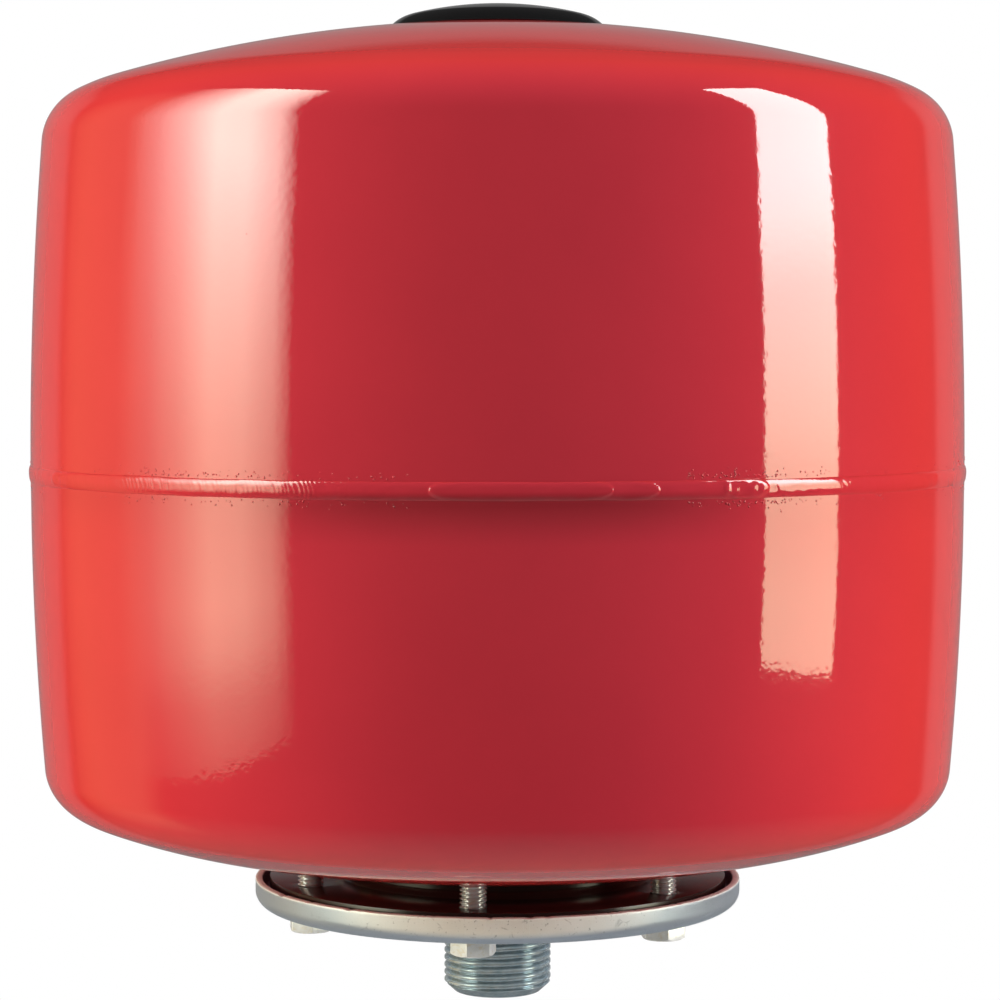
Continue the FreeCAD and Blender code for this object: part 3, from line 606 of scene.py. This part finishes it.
def upper_shell():
    wall_foot = FLOOR_LEVEL + FLOOR_ROUND
    corner = arc((UPPER["end_radius"] - FLOOR_ROUND, wall_foot), FLOOR_ROUND, 0, -90, 10)
    shell("upper_shell_skin", UPPER, corner + [(BUSH_RADIUS, FLOOR_LEVEL)])


def lower_shell():
    shell("lower_shell_skin", LOWER, [(LOWER["end_radius"], RING_TOP)])


def wall_radius(bearing, level):
    """Radius of the shell's bowed wall near the seam."""
    bow = (UPPER if level > SEAM else LOWER)["radii"][0]
    return SHELL_RADIUS - (level - SEAM) ** 2 / (2 * bow) - set_in(bearing, level)


# ---- girth weld ----

BEAD_TURNS = circle(3000)
BEAD_ROWS = 17
BEAD_FOOT = 143.42  # just under the surface of the shells
BEAD_CREST_AT = 0.30  # the crest stands above the middle of the bead
# Stretches of the bead: the bearings that each starts at, is full at, fades from and ends at
LUMPY = (23.9, 25.3, 29.3, 31.2)
SMOOTH = (-13, -7.5, 19, 26)
SCALLOPED = (-178, -160, -12, -6)
# Laps where a run of weld starts (1) or ends (-1) over another: bearing, rise and which way it fades
LAPS = (
    (-7.2, 0.29, 1), (12.3, 0.29, -1), (17.4, 0.29, -1), (24.9, 0.18, 1), (30.6, 0.22, -1), (-64.0, 0.10, 1),
    (112.0, 0.20, -1), (-151.0, 0.20, 1),
)


def bearing_of(turn):
    """Bearing from the front of a turn anticlockwise from +X."""
    return (math.degrees(turn) + 90 + 180) % 360 - 180


def lap_rise(bearing, across):
    """Steep at the lap itself, with a nose rounded across the bead, and fading out over a few degrees."""
    total = 0.0
    for at, rise, way in LAPS:
        away = (bearing - at) * way - 1.5 * (across - 0.1) ** 2
        total += rise * smooth_step(-0.10, 0.12, away) * (1 - smooth_step(0.2, 3.4, away))
    return total


def ripple_depth(bearing):
    """Scallops to the left, a smooth stretch at the front, fine ripples elsewhere."""
    fine = 0.026
    return fine * (1 + between(*SCALLOPED, bearing)) * (1 - 0.8 * between(*SMOOTH, bearing))


def bead_point(turn, across):
    """Radius and level of the bead's outside; across runs from -1 at the bottom to 1 at the top."""
    bearing = bearing_of(turn)
    lump = between(*LUMPY, bearing)
    pitch = 1.5 if bearing < -8 else 1.1
    round_way = SHELL_RADIUS * math.radians(bearing)
    phase = (round_way + 1.0 * across**2 + 0.5 * across + 2.4 * rough(turn, 4, SHELL_RADIUS)) / pitch
    vigour = max(0.0, 0.75 + 1.1 * rough(turn, 8, SHELL_RADIUS, 12))
    scallop = 0.5 * math.sin(TAU * phase) * vigour
    depth = ripple_depth(bearing)
    height = 0.61 + 0.08 * rough(turn, 14, SHELL_RADIUS, 5) + 0.12 * lump
    height += lap_rise(bearing, across)
    height += (0.06 + 0.26 * lump) * rough(turn, 2.7, SHELL_RADIUS, 9 + 1.1 * across)
    side = 1 - BEAD_CREST_AT if across > BEAD_CREST_AT else 1 + BEAD_CREST_AT
    crown = (1 - min(1.0, abs(across - BEAD_CREST_AT) / side) ** 2) ** 0.62
    radius = BEAD_FOOT + crown * (height + depth * scallop)
    half = (BEAD_HIGH - BEAD_FOOT_LEVEL) / 2
    half *= 0.94 + 0.05 * rough(turn, 9, SHELL_RADIUS, 2) + 0.06 * lump + 0.5 * depth * scallop
    wander = 0.12 * rough(turn, 22, SHELL_RADIUS, 7)
    level = (BEAD_HIGH + BEAD_FOOT_LEVEL) / 2 + across * half + wander
    return min(radius, BEAD_CREST), level


def girth_weld():
    """The bead with its root, which fills the gap between the shells."""
    root_depth = 0.4
    rows = [math.sin(math.pi / 2 * (2 * row / (BEAD_ROWS - 1) - 1)) for row in range(BEAD_ROWS)]
    rings = [partial(bead_point, across=across) for across in rows]
    half_gap = SEAM_GAP / 2
    root = SHELL_RADIUS - SHELL_WALL - root_depth
    rings += [
        (BEAD_FOOT, SEAM + half_gap), (root, SEAM + half_gap),
        (root, SEAM - half_gap), (BEAD_FOOT, SEAM - half_gap),
    ]
    mesh = revolved(rings, BEAD_TURNS)
    piece(new_object("girth_weld_bead", mesh), "red_enamel", ["girth_weld"], 80)


# Weld spatter under the enamel, in bands beside the bead: first and last bearing and how many specks
SPATTER_BANDS = (
    (20.5, 33.0, 120), (33.0, 41.0, 24), (-48.0, -21.0, 110), (-21.0, -9.0, 30), (42.0, 312.0, 190),
)
# Nibs in the enamel away from the weld: bearing and level
NIBS = (
    (-37.5, 181.0), (-41.8, 203.5), (-33.0, 142.2), (-52.1, 118.8), (-28.4, 231.0), (-19.0, 226.5),
    (150.0, 205.0),
)
NIB_RADIUS = 0.16
SEED = 11


def speck_places(random):
    """Bearing, level and radius of each speck and nib."""
    for first, last, count in SPATTER_BANDS:
        for _ in range(count):
            above = random.random() < 0.55
            away = 0.3 + abs(random.gauss(0, 1.0))
            level = BEAD_HIGH + away if above else BEAD_FOOT_LEVEL - away
            yield random.uniform(first, last), level, random.uniform(0.14, 0.30)
    for bearing, level in NIBS:
        yield bearing, level, NIB_RADIUS


def spatter():
    """Low round specks of metal left by welding all round the seam, and a few paint nibs."""
    random = Random(SEED)
    parts = []
    for bearing, level, radius in speck_places(random):
        dot = bmesh.new()
        bmesh.ops.create_icosphere(dot, subdivisions=2, radius=radius * MM)
        turn = math.radians(bearing)
        reach = wall_radius((bearing + 180) % 360 - 180, level) * MM
        place = Matrix.Translation((reach * math.sin(turn), -reach * math.cos(turn), level * MM))
        flattened = Matrix.Diagonal((1, 0.6, random.uniform(0.85, 1.2), 1))
        parts.append((dot, place @ Matrix.Rotation(turn, 4, "Z") @ flattened))
    piece(new_object("weld_spatter", merged(parts)), "red_enamel")


def fillet(name, node, radius, level, leg, side, ripple, slot):
    """A weld laid in the corner between a tube and a plate, with its ripples.

    side is 1 where it lies above the level of the plate and -1 where it hangs below.
    """
    overlap, rows = 0.05, 8

    def point(turn, lift):
        wave = abs(math.sin(math.pi * radius * turn / ripple)) ** 0.8 - 0.6
        reach = leg * (0.96 + 0.05 * rough(turn, 6, radius) + 0.10 * wave * math.sin(2 * lift))
        reach *= 1 - 0.22 * math.sin(2 * lift)
        return radius + max(reach * math.cos(lift), -overlap), level + side * reach * math.sin(lift)

    rings = [(radius - overlap, level - side * overlap)]
    rings += [partial(point, lift=math.pi / 2 * row / rows) for row in range(rows + 1)]
    mesh = revolved(rings, circle(720))
    piece(new_object(name, mesh), slot, [node], 70)


# ---- neck ring and counter-flange ----

def screw_axes():
    """Where each screw stands, and its number."""
    for index in range(len(SCREW_HEADS)):
        turn = math.radians(FIRST_SCREW + index * 360 / len(SCREW_HEADS))
        yield index, Vector((math.sin(turn), -math.cos(turn), 0)) * SCREW_CIRCLE * MM


def hole_cutters(radius, low, high):
    """Drills for the screws' holes."""
    parts = []
    for _, spot in screw_axes():
        drill = revolved([(0, low), (radius, low), (radius, high), (0, high)], circle(64), closed=False)
        parts.append((drill, Matrix.Translation(spot)))
    return merged(parts)


def neck_ring():
    """Ring plate with softened edges, tapped for the screws."""
    bevel, bore, hole = 0.35, 42.5, 4.02
    outside = RING_RADIUS
    rings = [
        (bore, RING_LOW), (outside - bevel, RING_LOW), (outside, RING_LOW + bevel),
        (outside, RING_TOP - bevel), (outside - bevel * 0.3, RING_TOP - bevel * 0.3),
        (outside - bevel, RING_TOP), (bore, RING_TOP),
    ]
    item = new_object("neck_ring_plate", revolved(rings, circle(360)))
    cut(item, hole_cutters(hole, RING_LOW - 1, RING_TOP + 1))
    piece(item, "red_enamel", ["neck_ring"])


def rim_wear(turn):
    """How far the sheared edge of the flange falls short, with its nicks."""
    nicks = max(0.0, rough(turn, 1.3, FLANGE_RADIUS, 3) - 0.25) * 0.55
    chips = max(0.0, rough(turn, 4.2, FLANGE_RADIUS, 8) - 0.42) * 0.9
    return 0.05 + 0.05 * rough(turn, 7, FLANGE_RADIUS) + nicks + chips


def wear_rim(item):
    """Nicks the sheared edge of the flange and rubs its outside unevenly."""
    worn_low = RIM_TOP - 0.6
    for vertex in item.data.vertices:
        level = vertex.co.z / MM
        if level > worn_low:
            turn = math.atan2(vertex.co.y, vertex.co.x)
            vertex.co.z -= rim_wear(turn) * smooth_step(worn_low, RIM_TOP, level) * MM
            reach = 1 - 0.12 * max(0.0, rough(turn, 2.1, FLANGE_RADIUS, 6)) / FLANGE_RADIUS
            vertex.co.x *= reach
            vertex.co.y *= reach


def counter_flange():
    """Dished flange with a bent-up rim, bored for the connector and drilled for the screws."""
    bend, flat, hole = 4.2, 60.0, 4.5
    plate_top = FLANGE_LOW + FLANGE_SHEET
    inside = FLANGE_RADIUS - FLANGE_SHEET
    centre = (FLANGE_RADIUS - bend, FLANGE_LOW + bend)
    rings = [(NIPPLE_RADIUS, FLANGE_LOW), (flat, FLANGE_LOW)]
    rings += arc(centre, bend, -90, 0, 12)
    rings += [(FLANGE_RADIUS, RIM_TOP - rise) for rise in (2.2, 1.0, 0.45)]
    rings += [
        (FLANGE_RADIUS - 0.06, RIM_TOP - 0.16), (FLANGE_RADIUS - 0.30, RIM_TOP - 0.02),
        (FLANGE_RADIUS - 1.1, RIM_TOP), (inside + 0.25, RIM_TOP - 0.03), (inside, RIM_TOP - 0.28),
        (inside, RIM_TOP - 1.6),
    ]
    rings += arc(centre, bend - FLANGE_SHEET, 0, -90, 10)
    rings += [(flat, plate_top), (NIPPLE_RADIUS, plate_top)]
    item = new_object("counter_flange_dish", revolved(rings, circle(960)))
    wear_rim(item)
    cut(item, hole_cutters(hole, FLANGE_LOW - 1, plate_top + 1))
    piece(item, "galvanised_sheet", ["counter_flange"])


# ---- threads ----

def thread_height(turn, level, pitch, crest, root):
    """From 0 at a right-hand thread's root to 1 at its crest; crest and root are shares left flat."""
    phase = (level / pitch - turn / TAU) % 1.0
    slope = abs(2 * phase - 1)
    height = min(1.0, max(0.0, (slope - root) / (1 - root - crest)))
    return 0.5 * height + 0.5 * (0.5 - 0.5 * math.cos(math.pi * height))


def threaded(major, depth, pitch, low, high, step, envelope, crest=0.06, root=0.06):
    """Rings of a threaded length; envelope gives the most radius at a level and the share of the cut."""
    rings = []
    count = round((high - low) / step)
    for row in range(count + 1):
        level = low + (high - low) * row / count
        limit, share = envelope(level)

        def radius(turn, level=level, limit=limit, share=share):
            height = thread_height(turn, level, pitch, crest, root)
            return min(limit, major - depth * share * (1 - height))
        rings.append((radius, level))
    return rings


def water_connector():
    """Nipple with a chamfered mouth, a pipe thread and a plain end under the flange."""
    bore, mouth = 12.0, 13.3
    chamfer_top, thread_end, run_out = 3.0, 25.0, 25.8
    depth, pitch, step, edge = 0.95, 2.309, 0.1, 0.15

    def envelope(level):
        chamfer = mouth + (THREAD_RADIUS - mouth) * level / chamfer_top
        beyond = max(0.0, level - thread_end) / (run_out - thread_end)
        cone = THREAD_RADIUS + (NIPPLE_RADIUS - THREAD_RADIUS) * beyond
        return min(chamfer, cone), 1 - smooth_step(thread_end - 1.6, thread_end, level)

    rings = [(bore, edge), (bore + edge, CONNECTOR_LOW), (mouth - edge, CONNECTOR_LOW)]
    rings += threaded(THREAD_RADIUS, depth, pitch, step, run_out, step, envelope, 0.26, 0.04)
    rings += [(NIPPLE_RADIUS, run_out + step), (NIPPLE_RADIUS, CONNECTOR_TOP), (bore, CONNECTOR_TOP)]
    mesh = revolved(rings, circle(288))
    piece(new_object("water_connector_thread", mesh), "zinc_connector", ["water_connector"], 40)


# ---- screws ----

def hexagon_turns():
    """Turns round a hexagon, closer together at its corners."""
    steps = (-29.6, -29.2, -28.4, -26, -20, -10, 0, 10, 20, 26, 28.4, 29.2, 29.6, 30)
    return [math.radians(side * 60 + step) for side in range(6) for step in steps]


def hexagon_radius(turn, flat):
    """Radius of a hexagon with slightly rounded corners; flat is half its width across flats."""
    away = (math.degrees(turn) + 30) % 60 - 30
    return min(flat / math.cos(math.radians(away)), flat / math.cos(math.radians(29.3)))


def screw(flat, head_height, length, radius, pitch, depth):
    """A hexagon-head screw pointing up, its bearing face at level 0; flat is half its width across flats."""
    bevel_start = flat - 0.19
    point = length - 0.7
    dish, row_step = 0.25, 0.078
    corner = partial(hexagon_radius, flat=flat)
    head = [
        (0, -head_height + dish), (flat - 2.1, -head_height + dish), (flat - 1.5, -head_height),
        (bevel_start, -head_height),
        (corner, lambda turn: -head_height + (corner(turn) - bevel_start) * BEVEL_SLOPE),
        (corner, -0.35), (lambda turn: corner(turn) - 0.12, 0), (radius, 0),
    ]
    head_mesh = revolved(head + [(0, 0)], hexagon_turns(), closed=False)

    def envelope(level):
        return radius - max(0.0, level - point), smooth_step(0.6, 2.0, level)

    shank = [(0, -0.2), (radius, -0.2)]
    shank += threaded(radius, depth, pitch, 0.0, length, row_step, envelope, 0.12, 0.10)
    shank_mesh = revolved(shank + [(0, length - 0.05)], circle(64), closed=False)
    return merged([(head_mesh, Matrix.Identity(4)), (shank_mesh, Matrix.Identity(4))])


def flange_screws():
    """M8 screws with 12 mm heads, their heads below the flange."""
    flat_forward = Matrix.Rotation(math.pi / 2, 4, "Z")
    parts = []
    for index, spot in screw_axes():
        place = Matrix.Translation(spot + Vector((0, 0, FLANGE_LOW * MM)))
        turned = Matrix.Rotation(math.radians(SCREW_HEADS[index]), 4, "Z")
        made = screw(flat=6.0, head_height=5.0, length=16.0, radius=4.0, pitch=1.25, depth=0.77)
        parts.append((made, place @ turned @ flat_forward))
    piece(new_object("flange_screws", merged(parts)), "zinc_screw", ["flange_bolts"], 28)


# ---- air valve ----

def valve_body():
    """Brass body: sealed foot, hexagon with turned corners, threaded stem and stepped bore."""
    foot, flat, hex_low, hex_top = 5.0, 7.0, 282.5, 287.5
    stem, depth, pitch, step = 3.85, 0.43, 0.794, 0.06
    core_bore, core_bore_low, chamber, chamber_top = 2.62, 289.6, 2.8, 288.6
    bevel_start = flat - 0.15

    def corner(turn):
        return hexagon_radius(turn + math.pi / 2, flat)

    def envelope(level):
        return stem - max(0.0, level - (STEM_TOP - 0.5)), smooth_step(hex_top + 0.5, hex_top + 1.6, level)

    rings = [
        (foot, BODY_LOW), (foot, hex_low),
        (lambda turn: corner(turn) - 0.1, hex_low), (corner, hex_low + 0.15),
        (corner, lambda turn: hex_top - (corner(turn) - bevel_start) * BEVEL_SLOPE),
        (bevel_start, hex_top), (stem + 0.3, hex_top), (stem, hex_top + 0.3),
    ]
    rings += threaded(stem, depth, pitch, hex_top + 0.4, STEM_TOP, step, envelope, 0.12, 0.1)
    rings += [(core_bore, STEM_TOP), (core_bore, core_bore_low), (chamber, chamber_top), (chamber, BODY_LOW)]
    mesh = revolved(rings, hexagon_turns())
    piece(new_object("valve_body_turned", mesh), "valve_brass", ["valve_body"])


def valve_spring():
    """Core spring: a coil of round wire, built at one length."""
    wire, pitch, pin_travel = 0.16, 1.3, 1.2
    sides, steps_a_turn = 12, 48
    outside, low, high = span("valve_spring")
    radius = outside - wire
    length = high - low - 2 * wire
    steps = round(length / pitch * steps_a_turn)
    mesh = bmesh.new()
    rings = []
    for step in range(steps + 1):
        centre = low + wire + length * step / steps
        turn = TAU * (centre - low - wire) / pitch
        section = [(radius + wire * math.cos(way), centre + wire * math.sin(way)) for way in circle(sides)]
        rings.append([
            mesh.verts.new((reach * math.cos(turn) * MM, reach * math.sin(turn) * MM, level * MM))
            for reach, level in section
        ])
    for ring, beyond in zip(rings, rings[1:]):
        bridge(mesh, ring, beyond)
    mesh.faces.new(rings[0])
    mesh.faces.new(rings[-1])
    bmesh.ops.recalc_face_normals(mesh, faces=mesh.faces)
    item = piece(new_object("valve_spring_coil", mesh), "spring_steel", ["valve_spring"], 50)
    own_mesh(item)


def dust_cap():
    """Screw cap with grip grooves and a rounded top, open below."""
    grooves, depth, inside = 18, 0.3, 3.9
    top_round, round_steps, dimple = 1.0, 8, 0.15

    def grip(turn, radius, share):
        return radius - depth * share * max(0.0, math.cos(grooves * turn)) ** 3

    def ring(radius, level, share):
        return (lambda turn: grip(turn, radius, share), level)

    rings = [(inside, CAP_LOW + 0.2), (inside + 0.2, CAP_LOW), ring(CAP_RADIUS - 0.25, CAP_LOW, 0.5)]
    rings += [ring(CAP_RADIUS, CAP_LOW + 0.25, 1), ring(CAP_RADIUS, CAP_TOP - 1.6, 1)]
    centre = (CAP_RADIUS - top_round, CAP_TOP - top_round)
    for step, (radius, level) in enumerate(arc(centre, top_round, 0, 90, round_steps)):
        rings.append(ring(radius, level, 1 - step / round_steps))
    rings += [
        (1.3, CAP_TOP), (1.1, CAP_TOP - dimple), (0.5, CAP_TOP - dimple),
        (0.3, CAP_TOP - 0.05), (0, CAP_TOP - 0.05), (0, SEAL_TOP), (inside, SEAL_TOP),
    ]
    mesh = revolved(rings, circle(360))
    piece(new_object("dust_cap_knurled", mesh), "cap_plastic", ["dust_cap"], 50, "dust_cap")


# ---- cover ----

COVER_RADIUS = 36.0  # where the shoulder's arc is widest, below the cover's edge
COVER_LOW = 298.25
COVER_WALL = 1.8
COVER_SHOULDER, COVER_CROWN = 11.0, 111.0
SKIRT_OUTSIDE = 25.85
SKIRT_WALL = 1.6
SKIRT_SLOTS = 8
SLOT_WIDTH = 3.0


def cover_profile(inset, steps):
    """The dome's face from its foot to the axis, set in from the outside."""
    shoulder, crown = COVER_SHOULDER, COVER_CROWN
    crown_centre = Vector((0, COVER_TOP - crown))
    edge = COVER_RADIUS - shoulder
    shoulder_centre = crown_centre + Vector((edge, math.sqrt((crown - shoulder) ** 2 - edge**2)))
    drop = shoulder_centre.y - COVER_LOW
    foot = shoulder_centre + Vector((math.sqrt((shoulder - inset) ** 2 - drop**2), -drop))
    joint = crown_centre + (shoulder_centre - crown_centre).normalized() * (crown - inset)
    top = crown_centre + Vector((0, crown - inset))
    rim = arc_between(shoulder_centre, foot, joint, steps)
    return rim[:-1] + arc_between(crown_centre, joint, top, steps * 2)


def slot_cutters():
    """Bars that part the skirt into tabs; each cuts two slots opposite each other."""
    parts = []
    for index in range(SKIRT_SLOTS // 2):
        bar = bmesh.new()
        bmesh.ops.create_cube(bar, size=1.0)
        height = COVER_LOW - SKIRT_LOW + 1
        size = Matrix.Diagonal((SLOT_WIDTH * MM, 60 * MM, height * MM, 1))
        level = (COVER_LOW - height / 2) * MM
        turned = Matrix.Rotation(index * TAU / SKIRT_SLOTS, 4, "Z")
        parts.append((bar, turned @ Matrix.Translation((0, 0, level)) @ size))
    return parts


def valve_cover():
    """Push-on cover: a shallow dome with a gate mark, and a skirt slotted into tabs."""
    outside = cover_profile(0.0, 18)
    inside = cover_profile(COVER_WALL, 18)
    mark, hollow, nub = 2.4, COVER_TOP - 0.20, COVER_TOP - 0.08
    dome = [point for point in outside if point[0] > mark]
    gate = [(mark * 0.85, hollow), (mark * 0.4, hollow), (mark * 0.3, nub), (0, nub)]
    skirt_inside = SKIRT_OUTSIDE - SKIRT_WALL
    beyond = [point for point in inside if point[0] > SKIRT_OUTSIDE + 0.3]
    within = [point for point in inside if point[0] < skirt_inside - 0.3]
    root = beyond[-1][1]
    skirt = [
        (SKIRT_OUTSIDE, root), (SKIRT_OUTSIDE, SKIRT_LOW + 3.0), (SKIRT_OUTSIDE - 0.5, SKIRT_LOW + 0.4),
        (SKIRT_OUTSIDE - 0.9, SKIRT_LOW), (skirt_inside + 0.2, SKIRT_LOW), (skirt_inside, SKIRT_LOW + 0.3),
        (skirt_inside, root),
    ]
    rounded = [(outside[0][0] - 0.25, COVER_LOW), (outside[0][0], COVER_LOW + 0.2)]
    rings = rounded + dome[1:] + gate + within[::-1] + skirt[::-1] + beyond[::-1]
    item = new_object("valve_cover_dome", revolved(rings, circle(288)))
    for bar in slot_cutters():
        cut(item, merged([bar]))
    piece(item, "cover_plastic", ["valve_cover"], body="cover")


# ---- CAD nodes that keep their shape ----

def dress_cad_nodes():
    """Gives the CAD nodes that still show their slots' materials."""
    slots = {part["node"]: part["material_slot"] for part in frame["record"]["subparts"]}
    for name, item in frame["nodes"].items():
        if item.hide_render:
            continue
        material = MATERIALS[slots[name]]
        if not item.material_slots:
            item.data.materials.append(material)
        for holder in item.material_slots:
            holder.material = material


# ---- studio ----

CAMERA_SPOT = (0.0, -0.934, 0.1985)
CAMERA_PITCH = 87.24  # degrees; 90 looks level
FOCAL_LENGTH = 108.2
CAMERA_SHIFT = 0.0025


def camera():
    data = bpy.data.cameras.new("camera")
    data.sensor_width = 36.0
    data.lens = FOCAL_LENGTH
    data.shift_x = CAMERA_SHIFT
    item = linked("camera", data)
    item.location = CAMERA_SPOT
    item.rotation_euler = (math.radians(CAMERA_PITCH), 0, 0)
    bpy.context.scene.camera = item


def area_light(name, place, rotation, size, colour, radiance):
    """A rectangular panel of light, hidden from the camera."""
    data = bpy.data.lights.new(name, "AREA")
    data.shape = "RECTANGLE"
    data.size, data.size_y = size
    data.energy = math.pi * size[0] * size[1] * radiance
    data.color = colour
    item = linked(name, data)
    item.location = place
    item.rotation_euler = rotation
    item.visible_camera = False
    return item


def facing_light(name, bearing, distance, height, size, colour, radiance):
    """An upright panel of light that faces the vessel from a bearing."""
    turn = math.radians(bearing)
    place = (distance * math.sin(turn), -distance * math.cos(turn), height)
    return area_light(name, place, (math.radians(90), 0, turn), size, colour, radiance)


# Softboxes by bearing. levels are their foot and top. across and upright are their brightness by the
# distance from their middle line and by height, all in metres.
SOFTBOXES = (
    {
        "name": "left_softbox", "bearing": -73.0, "distance": 1.5, "width": 1.46, "levels": (-0.27, 1.80),
        "across": (
            (-0.73, 0.0), (-0.60, 0.04), (-0.40, 0.20), (-0.12, 0.53), (0.13, 0.98), (0.36, 0.96),
            (0.59, 0.62), (0.73, 0.05),
        ),
        "upright": (
            (-0.27, 0.7), (-0.18, 1.4), (-0.11, 2.7), (-0.05, 3.2), (0.06, 3.1), (0.17, 3.85), (0.25, 4.7),
            (0.35, 5.9), (0.44, 7.3), (0.52, 8.7), (1.80, 8.9),
        ),
        "high_tint": (1.0, 1.0, 0.86, 1),
    },
    {
        "name": "right_softbox", "bearing": 73.4, "distance": 1.6, "width": 0.61, "levels": (-0.15, 1.93),
        "across": ((-0.305, 1.0), (0.305, 1.0)),
        "upright": (
            (-0.15, 4.0), (-0.05, 4.1), (0.06, 3.7), (0.17, 5.3), (0.25, 6.0), (0.35, 6.7), (0.44, 8.8),
            (0.52, 9.4), (1.93, 9.4),
        ),
        "high_tint": (1.0, 1.0, 0.97, 1),
    },
)
LOW_TINT = (1.0, 1.0, 0.68, 1)
TINT_HEIGHTS = ((0.08, 0.0), (0.48, 1.0))  # where the low tint gives way to the high one


def softbox(name, bearing, distance, width, levels, across, upright, high_tint):
    """An upright panel whose brightness varies over it, warmer towards its foot."""
    low, high = levels
    item = facing_light(name, bearing, distance, (low + high) / 2, (width, high - low), (1, 1, 1), 1.0)
    item.data.use_nodes = True
    tree = Tree(item.data.node_tree)
    emission = next(node for node in tree.tree.nodes if node.type == "EMISSION")
    turn = math.radians(bearing)
    spot = tree.node("ShaderNodeNewGeometry").outputs["Position"]
    aside = tree.vector("DOT_PRODUCT", spot, (math.cos(turn), math.sin(turn), 0), "Value")
    height = tree.node("ShaderNodeSeparateXYZ", Vector=spot).outputs["Z"]
    tree.set(emission.inputs["Strength"], tree.times(tree.curve(aside, across), tree.curve(height, upright)))
    tree.set(emission.inputs["Color"], tree.blend(tree.curve(height, TINT_HEIGHTS), LOW_TINT, high_tint))


# Side fills: name, bearing, radiance and colour
SIDE_FILLS = (("left_fill", -81.0, 5.4, (1.0, 0.86, 0.66)), ("right_fill", 86.0, 6.8, (1.0, 0.95, 0.92)))


def fill_lights():
    """Soft light from both sides and above that is too even to show in the gloss."""
    panels = []
    for name, bearing, radiance, colour in SIDE_FILLS:
        panels.append(facing_light(name, bearing, 1.7, 0.30, (0.9, 1.1), colour, radiance))
        panels.append(facing_light(name + "_low", bearing, 0.561, -0.17, (0.35, 0.25), colour, 1.9))
    panels.append(area_light("top_fill", (0, 0, 1.75), (0, 0, 0), (1.0, 1.0), (1.0, 0.97, 0.95), 6.0))
    for panel in panels:
        panel.visible_glossy = False


# Brightness of the room by a direction's X, Y or Z, each from -1 to 1
BACKDROP_BEHIND = ((0.0, 0.0), (0.64, 0.0), (0.70, 1.0), (1.0, 1.0))
BACKDROP_UP = ((-1.0, 0.0), (-0.30, 0.24), (0.22, 0.27), (0.40, 0.16), (0.455, 0.0), (1.0, 0.0))
ROOM_UP = ((-1.0, 0.45), (-0.30, 0.02), (-0.1, 0.06), (0.4, 0.06), (1.0, 0.08))
SPILL_LEFT = ((-1.0, 1.0), (-0.86, 1.0), (-0.70, 0.0), (1.0, 0.0))
SPILL_BEHIND = ((-1.0, 0.0), (0.0, 0.0), (0.15, 0.42), (0.60, 0.34), (0.72, 0.0))
SPILL_COLOUR = (1.0, 0.72, 0.36, 1)


def world():
    """White to the camera; to the vessel, a dim room with a pale backdrop and a warm spill behind it."""
    made = bpy.data.worlds.new("studio")
    bpy.context.scene.world = made
    made.use_nodes = True
    made.node_tree.nodes.clear()
    tree = Tree(made.node_tree)
    way = tree.node("ShaderNodeTexCoord").outputs["Generated"]
    parts = tree.node("ShaderNodeSeparateXYZ", Vector=way).outputs
    backdrop = tree.times(tree.curve(parts["Y"], BACKDROP_BEHIND), tree.curve(parts["Z"], BACKDROP_UP))
    glow = tree.maths("ADD", backdrop, tree.curve(parts["Z"], ROOM_UP))
    dim = tree.node("ShaderNodeBackground", Strength=glow)
    spill = tree.times(tree.curve(parts["X"], SPILL_LEFT), tree.curve(parts["Y"], SPILL_BEHIND))
    warm = tree.node("ShaderNodeBackground", Color=SPILL_COLOUR, Strength=spill)
    room = tree.node("ShaderNodeAddShader")
    tree.set(room.inputs[0], dim.outputs[0])
    tree.set(room.inputs[1], warm.outputs[0])
    white = tree.node("ShaderNodeBackground", Color=(1, 1, 1, 1))
    choice = tree.node("ShaderNodeMixShader", Fac=tree.node("ShaderNodeLightPath").outputs["Is Camera Ray"])
    tree.set(choice.inputs[1], room.outputs[0])
    tree.set(choice.inputs[2], white.outputs[0])
    tree.node("ShaderNodeOutputWorld", Surface=choice.outputs[0])


def floor():
    """A round pale floor below the vessel, which hangs on its water connector."""
    level, radius = -0.30, 1.25  # in metres
    mesh = bmesh.new()
    bmesh.ops.create_circle(mesh, cap_ends=True, segments=128, radius=radius)
    bmesh.ops.translate(mesh, verts=mesh.verts, vec=(0, 0, level))
    item = new_object("floor", mesh)
    graph = Graph("pale_floor")
    tone = graph.blend(graph.noise(60.0, 3.0), (0.50, 0.50, 0.49, 1), (0.54, 0.54, 0.53, 1))
    graph.shade(Base_Color=tone, Roughness=0.9)
    item.data.materials.append(graph.material)
    item.visible_glossy = False


# ---- the whole ----

upper_shell()
lower_shell()
girth_weld()
spatter()
neck_ring()
counter_flange()
fillet("neck_weld_bead", "neck_weld", LOWER["end_radius"], RING_TOP, 2.2, 1, 1.6, "red_enamel")
fillet("connector_weld_bead", "connector_weld", NIPPLE_RADIUS, FLANGE_LOW, 2.5, -1, 1.4, "zinc_connector")
fillet("bush_weld_bead", "valve_bush_weld", BUSH_RADIUS, FLOOR_LEVEL, 2.0, 1, 1.4, "red_enamel")
water_connector()
flange_screws()
valve_body()
valve_spring()
dust_cap()
valve_cover()
dress_cad_nodes()

camera()
world()
for box in SOFTBOXES:
    softbox(**box)
fill_lights()
floor()
bpy.context.scene.view_settings.view_transform = "Standard"
